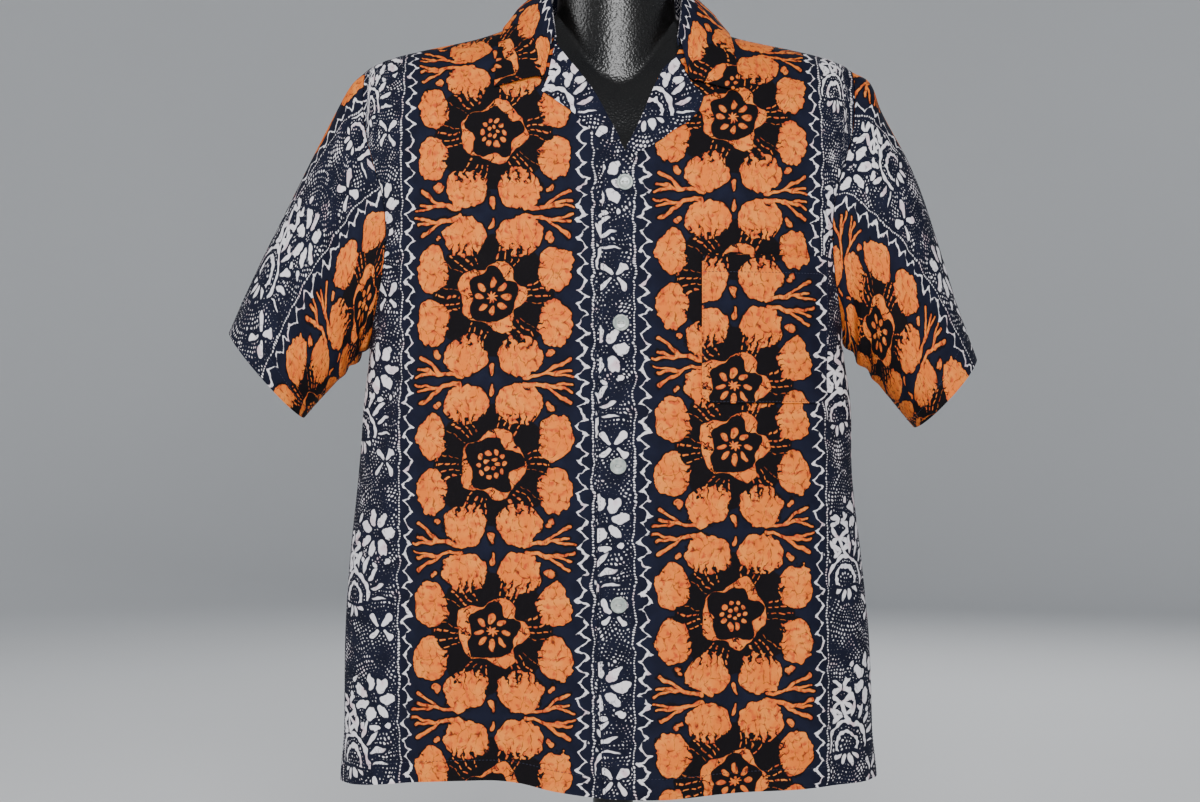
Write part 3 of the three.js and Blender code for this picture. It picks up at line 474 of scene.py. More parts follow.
def front_grid(hand, edge_x, roll):
    def turn_at(u, height):
        return lerp(section_turn(edge_x(height), height), hand, u)
    neck_x = NECK_CENTRE + hand * NECK_SEAM_OUT
    roll = roll + [(neck_x, float(ridge_height(neck_x)))]
    inner = np.concatenate([[(float(edge_x(UNDERARM)), UNDERARM)], spline(roll, np.linspace(0, 1, 600))])
    tip = SHOULDER_CENTRE + hand * SHOULDER_TIP
    edges = dict(
        bottom=lambda u: pair(section_x(turn_at(u, UNDERARM), UNDERARM), 0),
        top=lambda u: pair(lerp(neck_x, tip, u), 1),
        left=edge_by_climb(inner, -1),
        right=edge_by_climb(armhole_line(hand, -1), -1),
    )
    return panel_grid(-1, 60, turn_at, edges)


def back_top(u):
    across = 2 * u - 1
    hand = np.where(across < 0, -1, 1)
    out = np.abs(across)
    turn = np.minimum(out / BACK_NECK_SHARE, 1) * QUARTER
    neck = pair(NECK_CENTRE + hand * NECK_SEAM_OUT * np.sin(turn),
                1 - (1 - BACK_NECK_OVER) * np.maximum(np.cos(turn), 0) ** 0.8)
    along = (out - BACK_NECK_SHARE) / (1 - BACK_NECK_SHARE)
    neck_x = NECK_CENTRE + hand * NECK_SEAM_OUT
    shoulder = pair(lerp(neck_x, SHOULDER_CENTRE + hand * SHOULDER_TIP, along), 1)
    return np.where((out <= BACK_NECK_SHARE)[..., None], neck, shoulder)


def back_grid():
    edges = dict(
        bottom=lambda u: pair(section_x(2 * u - 1, UNDERARM), 0),
        top=back_top,
        left=edge_by_climb(armhole_line(-1, 1), 1),
        right=edge_by_climb(armhole_line(1, 1), 1),
    )
    return panel_grid(1, 120, lambda u, height: 2 * u - 1, edges)


def grid_normals(points, around=False):
    if around:
        across = np.roll(points, -1, 1) - np.roll(points, 1, 1)
    else:
        across = np.gradient(points, axis=1)
    up = np.gradient(points, axis=0)
    return unit(np.cross(across, up))


def facing(points, normals, direction):
    middle = normals[points.shape[0] // 2, points.shape[1] // 2]
    return normals if middle @ np.array(direction, float) > 0 else -normals


def noise3(p, scale, seed=0):
    """Soft uneven waves, from sums of sines that don't repeat soon."""
    x, y, z = (p[..., k] / scale for k in range(3))
    total = 0
    for i, (a, b, c) in enumerate([(1, 0.37, 0.21), (-0.41, 1.07, 0.33), (0.29, -0.52, 1.13),
                                   (0.83, 0.71, -0.45), (-0.67, 0.38, 0.91)]):
        total = total + np.sin(a * x + b * y + c * z + 1.7 * i + seed * 2.3)
    return total / 5


def drape(points, normals, crease):
    """Moves the outer face by its creases, in millimetres, along the normals."""
    return points + normals * crease[..., None]


def hanging_creases(x, h, creases):
    """Soft creases that hang down the body and wander a little."""
    total = 0
    for where, width, deep, top in creases:
        wander = 7 * np.sin(h / 58 + where) + 3 * np.sin(h / 23 + 2 * where)
        total = total + deep * hump(x - wander, where, width) * smoothstep(top - h, 0, 240)
    return total


def trough_limit(h):
    """How far cloth may sink before it would reach the form."""
    return -1.6 - 2.6 * smoothstep(470 - h, 0, 80)


def drag_lines(x, h, rows):
    """Lines that drag from the shoulders and fall from the underarms, the same on both hands."""
    total = 0
    for hand in (-1, 1):
        s = (x - SHOULDER_CENTRE) * hand
        for start, across, level, slope, deep, shift, width, middle, span, fade in rows:
            t = (s - start) * across + (h - level) * slope
            line = deep * hump(t, shift, width) * hump(h, middle, span)
            total = total + (line * smoothstep(s, *fade) if fade else line)
    return total


def settled(crease, h):
    """Keeps the creases off the form, and out of the hem and the shoulder."""
    return np.maximum(crease, trough_limit(h)) * smoothstep(h, -12, 40) * (1 - smoothstep(h, 600, 690) * 0.8)


def front_crease(points):
    """Soft troughs and ridges of the two fronts, the same formula for both so that the lap stays."""
    x, h = points[..., 0], points[..., 2]
    waves = 2.3 * noise3(points, 46, 1) * smoothstep(620 - h, 0, 200) * smoothstep(np.abs(x - 4), 26, 80)
    return settled(waves + hanging_creases(x, h, FRONT_CREASES) + drag_lines(x, h, FRONT_DRAGS), h)


def back_crease(points):
    x, h = points[..., 0], points[..., 2]
    waves = 2.2 * noise3(points, 52, 5) * smoothstep(640 - h, 0, 200)
    middle = 1.5 * hump(x, -2, 16) * hump(h, 420, 170)
    return settled(waves + hanging_creases(x, h, BACK_CREASES) + drag_lines(x, h, BACK_DRAGS) + middle, h)


def hold_side(points, side, gap=SEAM / 2):
    points[..., 1] = side * np.maximum(side * points[..., 1], gap)
    return points


def sleeve_point(rows, hand, along, turn):
    def at(column):
        return read(rows, "along", column, along)
    swing = (1 - np.cos(turn)) / 2
    out = lerp(at("out_under"), at("out_top"), swing)
    height = lerp(at("high_under"), at("high_top"), swing)
    deep = np.sin(turn)
    y = np.where(deep > 0, -at("front") * deep, -at("back") * deep)
    return stack(SHOULDER_CENTRE + hand * out, y, height)


def armhole_loop(front, back, hand):
    """The armhole's points and normals: up the front from the underarm, then down the back."""
    def outwards(panel, column):
        points, normals = panel[ROWS_LOW:, column].copy(), grid_normals(panel)[ROWS_LOW:, column].copy()
        inside = points - np.array([SHOULDER_CENTRE, 0, UNDERARM])
        normals[(normals * inside).sum(-1) < 0] *= -1
        return points, normals
    up, up_normals = outwards(front, -1)
    down, down_normals = outwards(back, 0 if hand < 0 else -1)
    return np.concatenate([up, down[1:-1][::-1]]), np.concatenate([up_normals, down_normals[1:-1][::-1]])


def sleeve_grid(rows, hand, loop, rings=64):
    points, n = loop
    count = len(points)
    turn = np.arange(count) / count * 2 * math.pi
    along = (np.arange(rings + 1) / rings) ** SLEEVE_CROWDING
    plain = sleeve_point(rows, hand, along[:, None], turn[None, :])
    misfit = points - sleeve_point(rows, hand, np.zeros(1), turn)
    grid = plain + misfit[None] * ((1 - along) ** 3)[:, None, None]
    tangent = np.roll(points, -1, 0) - np.roll(points, 1, 0)
    away = unit(np.cross(tangent, n))
    middle = plain[0].mean(0)
    away[((middle - points) * away).sum(-1) < 0] *= -1
    grid[0] = points + away * ARMHOLE_GAP
    normals = grid_normals(grid, around=True)
    if (normals[3, 0] * (grid[3, 0] - grid[3].mean(0))).sum() < 0:
        normals = -normals
    normals[0] = unit(normals[1] + n)
    return grid, normals, along, turn


def sleeve_crease(points, along, turn, hand):
    """Folds that run from the shoulder's front down to the underarm, and soft waves at the hem."""
    a, t = along[:, None], turn[None, :]
    side = np.sin(t)
    crease = 2.0 * noise3(points, 34, 3 + hand) * smoothstep(a, 0.02, 0.2)
    # a long crease down the front, beside the seam
    front = smoothstep(side, 0.1, 0.6)
    back = smoothstep(-side, 0.1, 0.6)
    lean = t - 1.7 + 0.55 * (a - 0.3)
    crease += front * (3.2 * hump(lean, 0, 0.16) - 3.4 * hump(lean, -0.3, 0.15)) * hump(a, 0.36, 0.34)
    lean = t - 4.5 - 0.5 * (a - 0.3)
    crease += back * (3.0 * hump(lean, 0, 0.18) - 3.0 * hump(lean, 0.34, 0.17)) * hump(a, 0.4, 0.34)
    # short folds bunched at the underarm
    under = smoothstep(np.cos(t), 0.2, 0.95)
    crease += under * 2.2 * np.sin(a * 34) * hump(a, 0.22, 0.2)
    return crease * smoothstep(a, 0, 0.06) * (1 - 0.5 * smoothstep(a, 0.85, 1))


def lapel_grid(shape, columns=24, rows=56):
    end_from, end_to = even_spline(shape["roll"], 1.0), even_spline(shape["lower"], 1.0)
    gorge = np.array(shape["gorge"], float)
    edges = dict(
        left=lambda v: even_spline(shape["roll"], v),
        right=lambda v: even_spline(shape["lower"], v),
        bottom=lambda u: along_line(gorge, u),
        top=lambda u: lerp(end_from, end_to, np.asarray(u, float)[..., None]),
    )
    v, u = np.meshgrid(np.linspace(0, 1, rows + 1), np.linspace(0, 1, columns + 1), indexing="ij")
    spots = patch(edges, u, v)
    x, h = spots[..., 0], spots[..., 1]
    bulge = LAPEL_BULGE * np.sin(math.pi * u) * (1 - v)
    return front_out(x, h, shape["lift"] * lap_lift(x) + CLOTH + 2 * SEAM + bulge)


def collar_line(share, count=64):
    """One line across the collar: up the stand, over the fold and down the leaf."""
    hand = -1 if share < 0 else 1
    along = 1 - abs(share)

    def at(column):
        return float(read(COLLAR, "along", column, along))

    def x(out):
        return NECK_CENTRE + hand * out
    seam = over_out(x(at("seam_out")), at("seam_over"), CLOTH + SEAM)
    to_axis = unit(np.array([NECK_CENTRE - seam[0], -seam[1], 0]))
    fold = seam + to_axis * at("lean")
    fold[2] += at("rise")
    turn_over = fold - to_axis * COLLAR_TURN_OUT
    turn_over[2] += COLLAR_TURN_UP
    bend = over_out(x(at("bend_out")), at("bend_over"), at("bend_lift") + CLOTH + SEAM)
    key = [seam, lerp(seam, fold, 0.33), lerp(seam, fold, 0.67), lerp(seam, fold, 0.93),
           lerp(fold, turn_over, 0.5) + np.array([0, 0, 0.8]), lerp(turn_over, bend, 0.08),
           lerp(turn_over, bend, 0.33), lerp(turn_over, bend, 0.67)]
    for down in np.linspace(0, 1, 6):
        out = lerp(at("bend_out"), at("edge_out"), down)
        over = lerp(at("bend_over"), at("edge_over"), down)
        key.append(over_out(x(out), over, lerp(at("bend_lift"), 1, down) + CLOTH + SEAM))
    return along_line(spline(np.array(key), np.linspace(0, 1, 260)), np.linspace(0, 1, count + 1))


def flat_lengths(points, axis):
    steps = np.linalg.norm(np.diff(points, axis=axis), axis=-1)
    pad = [(0, 0), (0, 0)]
    pad[axis] = (1, 0)
    return np.pad(np.cumsum(steps, axis=axis), pad)


def measured_round_sides(points, u):
    """Near the side seams the print follows the cloth's true length round the bend."""
    u = u.copy()
    for hand in (-1, 1):
        for row in range(ROWS_LOW):
            out = hand * points[row, :, 0]
            pick = np.nonzero(out > ROUND_FROM / 2)[0]
            if len(pick) < 3:
                continue
            pick = pick[np.argsort(out[pick])]
            length = line_length(points[row, pick])
            start = np.interp(ROUND_FROM, out[pick], length)
            flat = np.interp(ROUND_FROM, out[pick], hand * u[row, pick])
            outer = out[pick] > ROUND_FROM
            before = u[row, pick].copy()
            u[row, pick[outer]] = hand * (flat + length[outer] - start)
            shift = u[row, pick] - before
        if len(pick) >= 3:
            high = hand * points[ROWS_LOW:, :, 0]
            u[ROWS_LOW:] += np.where(high > ROUND_FROM, np.interp(high, out[pick], shift), 0)
    return u


def table_place(value, last):
    """The row of a table below a value, and how far the value is towards the next one."""
    low = np.clip(np.floor(value).astype(int), 0, last - 1)
    return low, value - low


def between(rows, r, c, a, b):
    """Reads a table of numbers or points between its rows and columns."""
    return lerp(lerp(rows[r, c], rows[r, c + 1], b), lerp(rows[r + 1, c], rows[r + 1, c + 1], b), a)


def body_uv(points, side):
    """Flat cloth coordinates: across from the centre line, and up from the hem."""
    x = points[..., 0]
    xs = np.linspace(-MAP_REACH, MAP_REACH, 2 * MAP_REACH + 1)
    heights = np.linspace(-MAP_BELOW, UNDERARM, MAP_ROWS)
    across = []
    for height in heights:
        y = section_depth(xs, height, side)
        length = running(np.hypot(np.diff(xs), np.minimum(np.abs(np.diff(y)), STEEP_MOST)))
        across.append(length - np.interp(0, xs, length))
    level = np.minimum(points[..., 2], UNDERARM)
    row, rest = table_place((level + MAP_BELOW) / (UNDERARM + MAP_BELOW) * (MAP_ROWS - 1), MAP_ROWS - 1)
    column, beyond = table_place(np.clip(x + MAP_REACH, 0, len(xs) - 2), len(xs) - 1)
    u = measured_round_sides(points, between(np.array(across), row, column, rest, beyond))
    # above the underarm the cloth's length is measured over its bend
    last = CURVE_STEPS - 1
    curves = []
    for at in np.linspace(-MAP_REACH, MAP_REACH, CURVE_COLUMNS):
        column = np.full(CURVE_STEPS, np.clip(at, *SHOULDER_REACH))
        line = climb_point(column, np.linspace(0, 1, CURVE_STEPS), side)
        curves.append(line_length(line))
    high = points[ROWS_LOW:]
    climb = climb_of(np.clip(high[..., 0], *SHOULDER_REACH), high[..., 2], side) * last
    row, rest = table_place(climb, last)
    column = np.clip((high[..., 0] + MAP_REACH) / 4, 0, CURVE_COLUMNS - 3).astype(int)
    curves = np.array(curves)
    v = points[..., 2].copy()
    v[ROWS_LOW:] = UNDERARM + lerp(curves[column, row], curves[column, row + 1], rest)
    return np.stack([u, v], axis=-1)


def mesh_from_grid(name, points, uv, normals, around=False, thickness=WALL, hold=None):
    """A closed wall of cloth from its outer face, made with grid and solidify operators."""
    rows, columns = points.shape[:2]
    wide = columns + 1 if around else columns
    bm = bmesh.new()
    bmesh.ops.create_grid(bm, x_segments=wide - 1, y_segments=rows - 1, size=1)
    layer = bm.loops.layers.uv.new("UVMap")
    bm.verts.ensure_lookup_table()
    places = {}
    for vert in bm.verts:
        c = round((vert.co.x + 1) / 2 * (wide - 1))
        r = round((vert.co.y + 1) / 2 * (rows - 1))
        places[vert.index] = (r, c)
    for face in bm.faces:
        for loop in face.loops:
            r, c = places[loop.vert.index]
            loop[layer].uv = uv[r, c]
    for vert in bm.verts:
        r, c = places[vert.index]
        x, y, z = points[r, c % columns]
        vert.co = (x * MM, y * MM, (z + HEM_LEVEL) * MM)
    if around:
        pairs = [[None, None] for _ in range(rows)]
        for vert in bm.verts:
            r, c = places[vert.index]
            if c == 0:
                pairs[r][0] = vert
            elif c == wide - 1:
                pairs[r][1] = vert
        bmesh.ops.weld_verts(bm, targetmap={b: a for a, b in pairs})
    bm.normal_update()
    bm.faces.ensure_lookup_table()
    sample = bm.faces[len(bm.faces) // 2]
    centre = np.array(sample.calc_center_median()) / MM - np.array([0, 0, HEM_LEVEL])
    flat = points.reshape(-1, 3)
    near = np.argmin(((flat - centre) ** 2).sum(-1))
    if np.dot(np.array(sample.normal), normals.reshape(-1, 3)[near]) < 0:
        bmesh.ops.reverse_faces(bm, faces=bm.faces[:])
        bm.normal_update()
    bmesh.ops.solidify(bm, geom=bm.faces[:] + bm.edges[:] + bm.verts[:], thickness=thickness * MM)
    if hold is not None:
        for vert in bm.verts:
            vert.co = hold(vert.co)
    return finish_mesh(name, bm)


def finish_mesh(name, bm, sharp=40):
    bm.normal_update()
    volume = bm.calc_volume(signed=True)
    if volume < 0:
        bmesh.ops.reverse_faces(bm, faces=bm.faces[:])
    mesh = bpy.data.meshes.new(name)
    bm.to_mesh(mesh)
    bm.free()
    mesh.shade_smooth()
    mesh.set_sharp_from_angle(angle=math.radians(sharp))
    obj = bpy.data.objects.new(name, mesh)
    bpy.context.scene.collection.objects.link(obj)
    return obj


def closed_rings(name, rings, sharp=40):
    """A solid skin over stacked rings of points, flat at both ends."""
    rows, columns = rings.shape[:2]
    bm = bmesh.new()
    bmesh.ops.create_grid(bm, x_segments=columns, y_segments=rows - 1, size=1)
    firsts, lasts = {}, {}
    for vert in bm.verts:
        c = round((vert.co.x + 1) / 2 * columns)
        r = round((vert.co.y + 1) / 2 * (rows - 1))
        vert.co = Vector(rings[r, c % columns] * MM)
        if c == 0:
            firsts[r] = vert
        elif c == columns:
            lasts[r] = vert
    bmesh.ops.weld_verts(bm, targetmap={lasts[r]: firsts[r] for r in range(rows)})
    bmesh.ops.holes_fill(bm, edges=[e for e in bm.edges if e.is_boundary], sides=0)
    bmesh.ops.recalc_face_normals(bm, faces=bm.faces[:])
    return finish_mesh(name, bm, sharp)


def signed_power(value, power):
    return np.sign(value) * np.abs(value) ** power


def form_top(x, y):
    """Height of the form's upper side over a place in plan."""
    out = np.minimum(np.abs(x - SHOULDER_CENTRE) / FORM["half_width"][-1], 1)
    chest = np.where(y < 0, FORM["front"][-1], FORM["back"][-1])
    deep = np.maximum(chest * (1 - out ** SECTION_POWER) ** (1 / SECTION_POWER), 0.001)
    ridge = (ridge_height(x) - FORM_CLEAR - UNDERARM) * (1 - out ** 12) ** 0.25
    power = 1 / np.where(y < 0, FRONT_ROUNDING, BACK_ROUNDING)
    roll = np.maximum(1 - (np.abs(y) / deep) ** 2, 0) ** power
    fade = 1 - smoothstep(-y, THROAT["fade_from"], THROAT["fade_to"])
    throat = (THROAT["dip"] * hump(x, NECK_CENTRE, THROAT["width"])
              * smoothstep(-y, THROAT["start"], THROAT["deep"]) * fade)
    nape = NAPE["dip"] * hump(x, NECK_CENTRE, NAPE["width"]) * smoothstep(y, 0, NAPE["deep"])
    return UNDERARM + ridge * roll - throat - nape


def form_rings(around=160, low=46, upper=60, neck=24):
    """Smooth torso and neck as level rings from the bottom to the top of the neck."""
    turn = np.arange(around) / around * 2 * math.pi

    def ring(half_width, front, back):
        across = signed_power(np.cos(turn), 2 / SECTION_POWER)
        deep = signed_power(np.sin(turn), 2 / SECTION_POWER)
        return pair(SHOULDER_CENTRE + half_width * across, np.where(deep < 0, front, back) * deep)

    def neck_ring(shrink):
        deep = np.where(np.sin(turn) < 0, NECK["front"], NECK["back"])
        return pair(NECK_CENTRE + NECK["half_width"] * shrink * np.cos(turn), deep * shrink * np.sin(turn))
    rings = []
    start = FORM["height"][0]
    for height in [start, start + 0.6, start + 2.5, start + 5.5, *np.linspace(start + 9, UNDERARM - 3, low)]:
        edge = 1 - 0.012 * (1 - smoothstep(height, start, start + 8))
        spots = ring(*(read(FORM, "height", k, height) * edge for k in ("half_width", "front", "back")))
        rings.append(stack(spots[:, 0], spots[:, 1], height))
    chest = ring(*(FORM[k][-1] for k in ("half_width", "front", "back")))
    for k in range(upper + 1):
        inwards = 1 - math.cos(k / upper * QUARTER)
        spots = lerp(chest, neck_ring(1), inwards)
        high = UNDERARM if k == 0 else form_top(spots[:, 0], spots[:, 1])
        rings.append(stack(spots[:, 0], spots[:, 1], high))
    foot = rings[-1][:, 2]
    for up in [*np.linspace(0, 1, neck)[1:-1], 0.985, 0.994, 1]:
        shrink = lerp(1, NECK["top_shrink"], math.sqrt(up)) - 0.05 * smoothstep(up, 0.975, 1)
        spots = neck_ring(shrink)
        rings.append(stack(spots[:, 0], spots[:, 1], lerp(foot, NECK["top"], up)))
    return np.array(rings) + np.array([0, 0, HEM_LEVEL])


def turned_solid(name, profile, steps=96, sharp=40):
    """A round solid spun from its half outline, given as radius and height in millimetres."""
    bm = bmesh.new()
    verts = [bm.verts.new((r * MM, 0, h * MM)) for r, h in profile]
    edges = [bm.edges.new(two) for two in zip(verts, verts[1:])]
    bmesh.ops.spin(bm, geom=verts + edges, cent=(0, 0, 0), axis=(0, 0, 1), angle=2 * math.pi,
                   steps=steps, use_merge=True)
    bmesh.ops.remove_doubles(bm, verts=bm.verts[:], dist=0.01 * MM)
    bmesh.ops.recalc_face_normals(bm, faces=bm.faces[:])
    return finish_mesh(name, bm, sharp)


def add_piece(obj, material, slot, *nodes):
    obj.data.materials.append(material)
    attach(obj, "root")
    if nodes:
        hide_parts(*nodes)
    return obj


def operator(operation, swapped=False):
    def apply(self, other):
        return maths(operation, other, self) if swapped else maths(operation, self, other)
    return apply


class Field:
    """A number that varies over the cloth; sums of them become shader nodes."""
    tree = None

    def __init__(self, socket):
        self.socket = socket

    def __neg__(self):
        return maths("SUBTRACT", 0, self)

    __add__, __radd__ = operator("ADD"), operator("ADD", True)
    __sub__, __rsub__ = operator("SUBTRACT"), operator("SUBTRACT", True)
    __mul__, __rmul__ = operator("MULTIPLY"), operator("MULTIPLY", True)
    __rtruediv__ = operator("DIVIDE", True)


def feed(socket, value):
    """Joins a field or a socket to an input, or sets a plain value on it."""
    if isinstance(value, Field):
        value = value.socket
    if isinstance(value, bpy.types.NodeSocket):
        Field.tree.links.new(value, socket)
    else:
        socket.default_value = value


def add_node(kind, inputs, **settings):
    node = Field.tree.nodes.new("ShaderNode" + kind)
    for key, value in settings.items():
        setattr(node, key, value)
    for key, value in inputs.items():
        feed(node.inputs[key], value)
    return node


def maths(operation, *values, held=False):
    return Field(add_node("Math", dict(enumerate(values)), operation=operation, use_clamp=held).outputs[0])


def maths_call(operation):
    return lambda *values: maths(operation, *values)


minimum, maximum, absolute = maths_call("MINIMUM"), maths_call("MAXIMUM"), maths_call("ABSOLUTE")
sine, cosine, angle = maths_call("SINE"), maths_call("COSINE"), maths_call("ARCTAN2")
fold, fraction, floor_of = maths_call("PINGPONG"), maths_call("FRACT"), maths_call("FLOOR")
less = maths_call("LESS_THAN")


def clamp(a):
    return maths("ADD", a, 0, held=True)


def hypot(a, b):
    return maths("SQRT", maths("MULTIPLY_ADD", a, a, b * b))


def mix(a, b, t):
    return maths("MULTIPLY_ADD", b - a, t, a)


def capsule(x, y, x0, y0, x1, y1, wide0, wide1):
    """Distance to a tapered stroke."""
    dx, dy = x1 - x0, y1 - y0
    t = clamp(((x - x0) * dx + (y - y0) * dy) * (1 / (dx * dx + dy * dy)))
    return hypot(x - (t * dx + x0), y - (t * dy + y0)) - (t * (wide1 - wide0) + wide0)


def oval(x, y, x0, long, wide):
    """Distance to an oval that lies along x."""
    return hypot((x - x0) * (wide / long), y) - wide


def petals(turn, r, x0, long, wide):
    """Distance to ovals that lie along the spokes of a circle."""
    return oval(cosine(turn) * r, sine(turn) * r, x0, long, wide)


def flower(fx, fy, waver, odd):
    """Orange flower: distances to its orange parts and to its dark ground."""
    ax, ay = absolute(fx), absolute(fy)
    far, near = maximum(ax, ay), minimum(ax, ay)
    sideways = less(ay, ax)
    petal = hypot((far + waver * 4 - 54 - sideways * 3) * (sideways * 0.24 + 1.12),
                  near + waver * 4 - 24.5) - 20.5
    petal = maximum(petal, clamp((51 - far) * 0.09) * 2.3 - 0.5 - fold(near + waver * 9, 4))
    petal = minimum(petal, hypot(far - 53, near - 51) - (waver * 3 + 2.6))
    r = hypot(fx, fy)
    a = angle(fy, fx)
    ring = absolute(r - sine(a * 5 + 1) * 2.6 - 26.5) - (sine(a * 4 + 2 + sine(a + odd) * 2) * 2.8 + 2.9)
    ring = maximum(ring, 1.1 - fold(a + waver * 0.7, 0.3927) * r)
    dash = hypot(fold(a, 0.0785) * r, maximum(fold(r + sine(a * 9) * 2.4, 3) - 1.4, 0))
    dash = dash - (waver * 0.6 + r * 0.016)
    dash = maximum(dash, absolute(r - 42) - 10.5)
    dash = maximum(dash, (-0.1 - sine(a * 6 + 0.8)) * 5)
    folded = fold(a, 0.3927)
    tear = petals(folded, r, 12, 4.4, 2.4)
    star = r - (cosine(a * 8) * 1.4 + 3.8)
    dots = hypot(r - 11.5, fold(a, 0.3142) * r) - 2.3
    dots = minimum(dots, hypot(r - 5, fold(a, 0.6283) * r) - 2)
    heart = mix(minimum(tear, star), dots, odd)
    sy = 74 - ay
    spray = capsule(ax, sy, 30, 1.5, 71, 8, 1.8, 1.1)
    spray = minimum(spray, capsule(ax, sy, 46, 4, 69, 19, 1.2, 1.6))
    spray = minimum(spray, capsule(ax, sy, 50, 5.5, 74, 2, 1.1, 1.0))
    drop = capsule(fx, sy, 0.7, 3.5, -0.9, 10.5, 0.8, 2.3)
    orange = minimum(minimum(petal, ring), minimum(minimum(dash, heart), minimum(spray, drop)))
    return orange, minimum(r - 55, orange - 1.6)


def panel_motifs(wx, wy, waver):
    """White panel: ovals, arcs, fans and rings of dots round two centres."""
    x1, y1 = wx - 13, wy - 34
    r1, a1 = hypot(x1, y1), angle(y1, x1)
    star = fold(a1 + waver * 0.25, 0.4488)
    shapes = petals(star, r1, 15.5, 7.8, 4.3)
    crown = fold(a1 + waver * 0.2, 0.2618)
    shapes = minimum(shapes, maximum(petals(crown, r1, 29, 2.6, 3.4), y1 + x1))
    x2, y2 = wx + 16, wy + 26
    r2, a2 = hypot(x2, y2), angle(y2, x2)
    arcs = absolute(absolute(r2 - 17.5) - 5) - (sine(a2 * 13) * 0.5 + 1.8 + waver)
    arcs = maximum(arcs, -4 - y2)
    fan = fold(a2, 0.1745)
    shapes = minimum(shapes, minimum(arcs, maximum(petals(fan, r2, 35, 8, 2.3), -y2)))
    under = fold(a2, 0.3142)
    shapes = minimum(shapes, maximum(petals(under, r2, 13, 5.5, 2.6), y2 + 7))
    x3, y3 = absolute(wx - 22), wy + 52
    shapes = minimum(shapes, capsule(x3, y3, 3, 2.5, 10, 10, 1.5, 3.3))
    shapes = minimum(shapes, capsule(x3, y3, 3.4, -3, 10, -9, 1.4, 2.8))
    x4, y4 = absolute(wx + 23) - 4.5, fold(wy - 1, 7)
    shapes = minimum(shapes, maximum(capsule(x4, y4, -2, 1, 4.5, 4.5, 1.6, 2.6), absolute(wy - 15) - 19))
    first = less(r1 - 6, r2)
    r = mix(r2, r1, first)
    a = mix(a2, a1, first)
    ring = floor_of(r * 0.2857 + 0.5)
    dots = hypot(r - ring * 3.5, fold(a, 3.14159 / maximum(ring * 6, 1)) * r) - (0.45 + waver * 1.5)
    dots = maximum(dots, 2.2 - shapes)
    return minimum(shapes, dots)


def batik(u, v, waver):
    """Distances in millimetres to the orange, dark and white parts of the print."""
    across = u * (1 / PRINT_WIDE)
    fx = (fraction(across + 0.5) - 0.5) * PRINT_WIDE
    up = v * (1 / PRINT_HIGH) + 0.5
    odd = fraction(floor_of(up) * 0.5) * 2
    fy = (fraction(up) - 0.5) * PRINT_HIGH
    orange, dark = flower(fx, fy, waver, odd)
    ax = absolute(fx)
    wave = (fold(v + waver * 3, 7.7) - 3.85) * 1.12
    zigzag = absolute(ax - 81.5 - wave) * 0.68 - (absolute(wave) * 0.17 + 0.42 + waver * 1.3)
    beads = hypot(ax - 91, fold(v, 1.35)) - (0.8 + waver * 0.4)
    wx = (fraction(across) - 0.5) * PRINT_WIDE
    wy = (fraction(up + 0.65) - 0.5) * PRINT_HIGH
    panel = maximum(panel_motifs(wx, wy, waver), absolute(wx) - 38)
    white = minimum(minimum(zigzag, beads), panel)
    return maximum(orange, ax - 75), dark, white


def cover(distance, soft=0.5):
    """How much of a spot is inside a shape, from the distance to its edge."""
    return maths("MULTIPLY_ADD", distance, -1 / soft, 0.5, held=True)


def colour_mix(low, high, share):
    """Mixes two colours, each a socket or plain numbers."""
    node = add_node("Mix", {"Factor": share}, data_type="RGBA")
    for key, value in (("A", low), ("B", high)):
        socket = [i for i in node.inputs if i.name == key and i.type == "RGBA"][0]
        feed(socket, (*value, 1) if isinstance(value, tuple) else value)
    return [o for o in node.outputs if o.type == "RGBA"][0]


def noise_field(vector, scale, detail=2.0, dimensions="2D"):
    inputs = {"Vector": vector, "Scale": scale, "Detail": detail}
    return add_node("TexNoise", inputs, noise_dimensions=dimensions)


def split(vector):
    return [Field(o) for o in add_node("SeparateXYZ", {0: vector}).outputs]


def vector_maths(operation, *values):
    return add_node("VectorMath", dict(enumerate(values)), operation=operation).outputs[0]


def new_material(name):
    material = bpy.data.materials.new(name)
    material.use_nodes = True
    Field.tree = material.node_tree
    return material, material.node_tree.nodes["Principled BSDF"].inputs


def add_bump(inputs, height, strength, distance):
    bump = add_node("Bump", {"Strength": strength, "Distance": distance, "Height": height})
    feed(inputs["Normal"], bump.outputs[0])


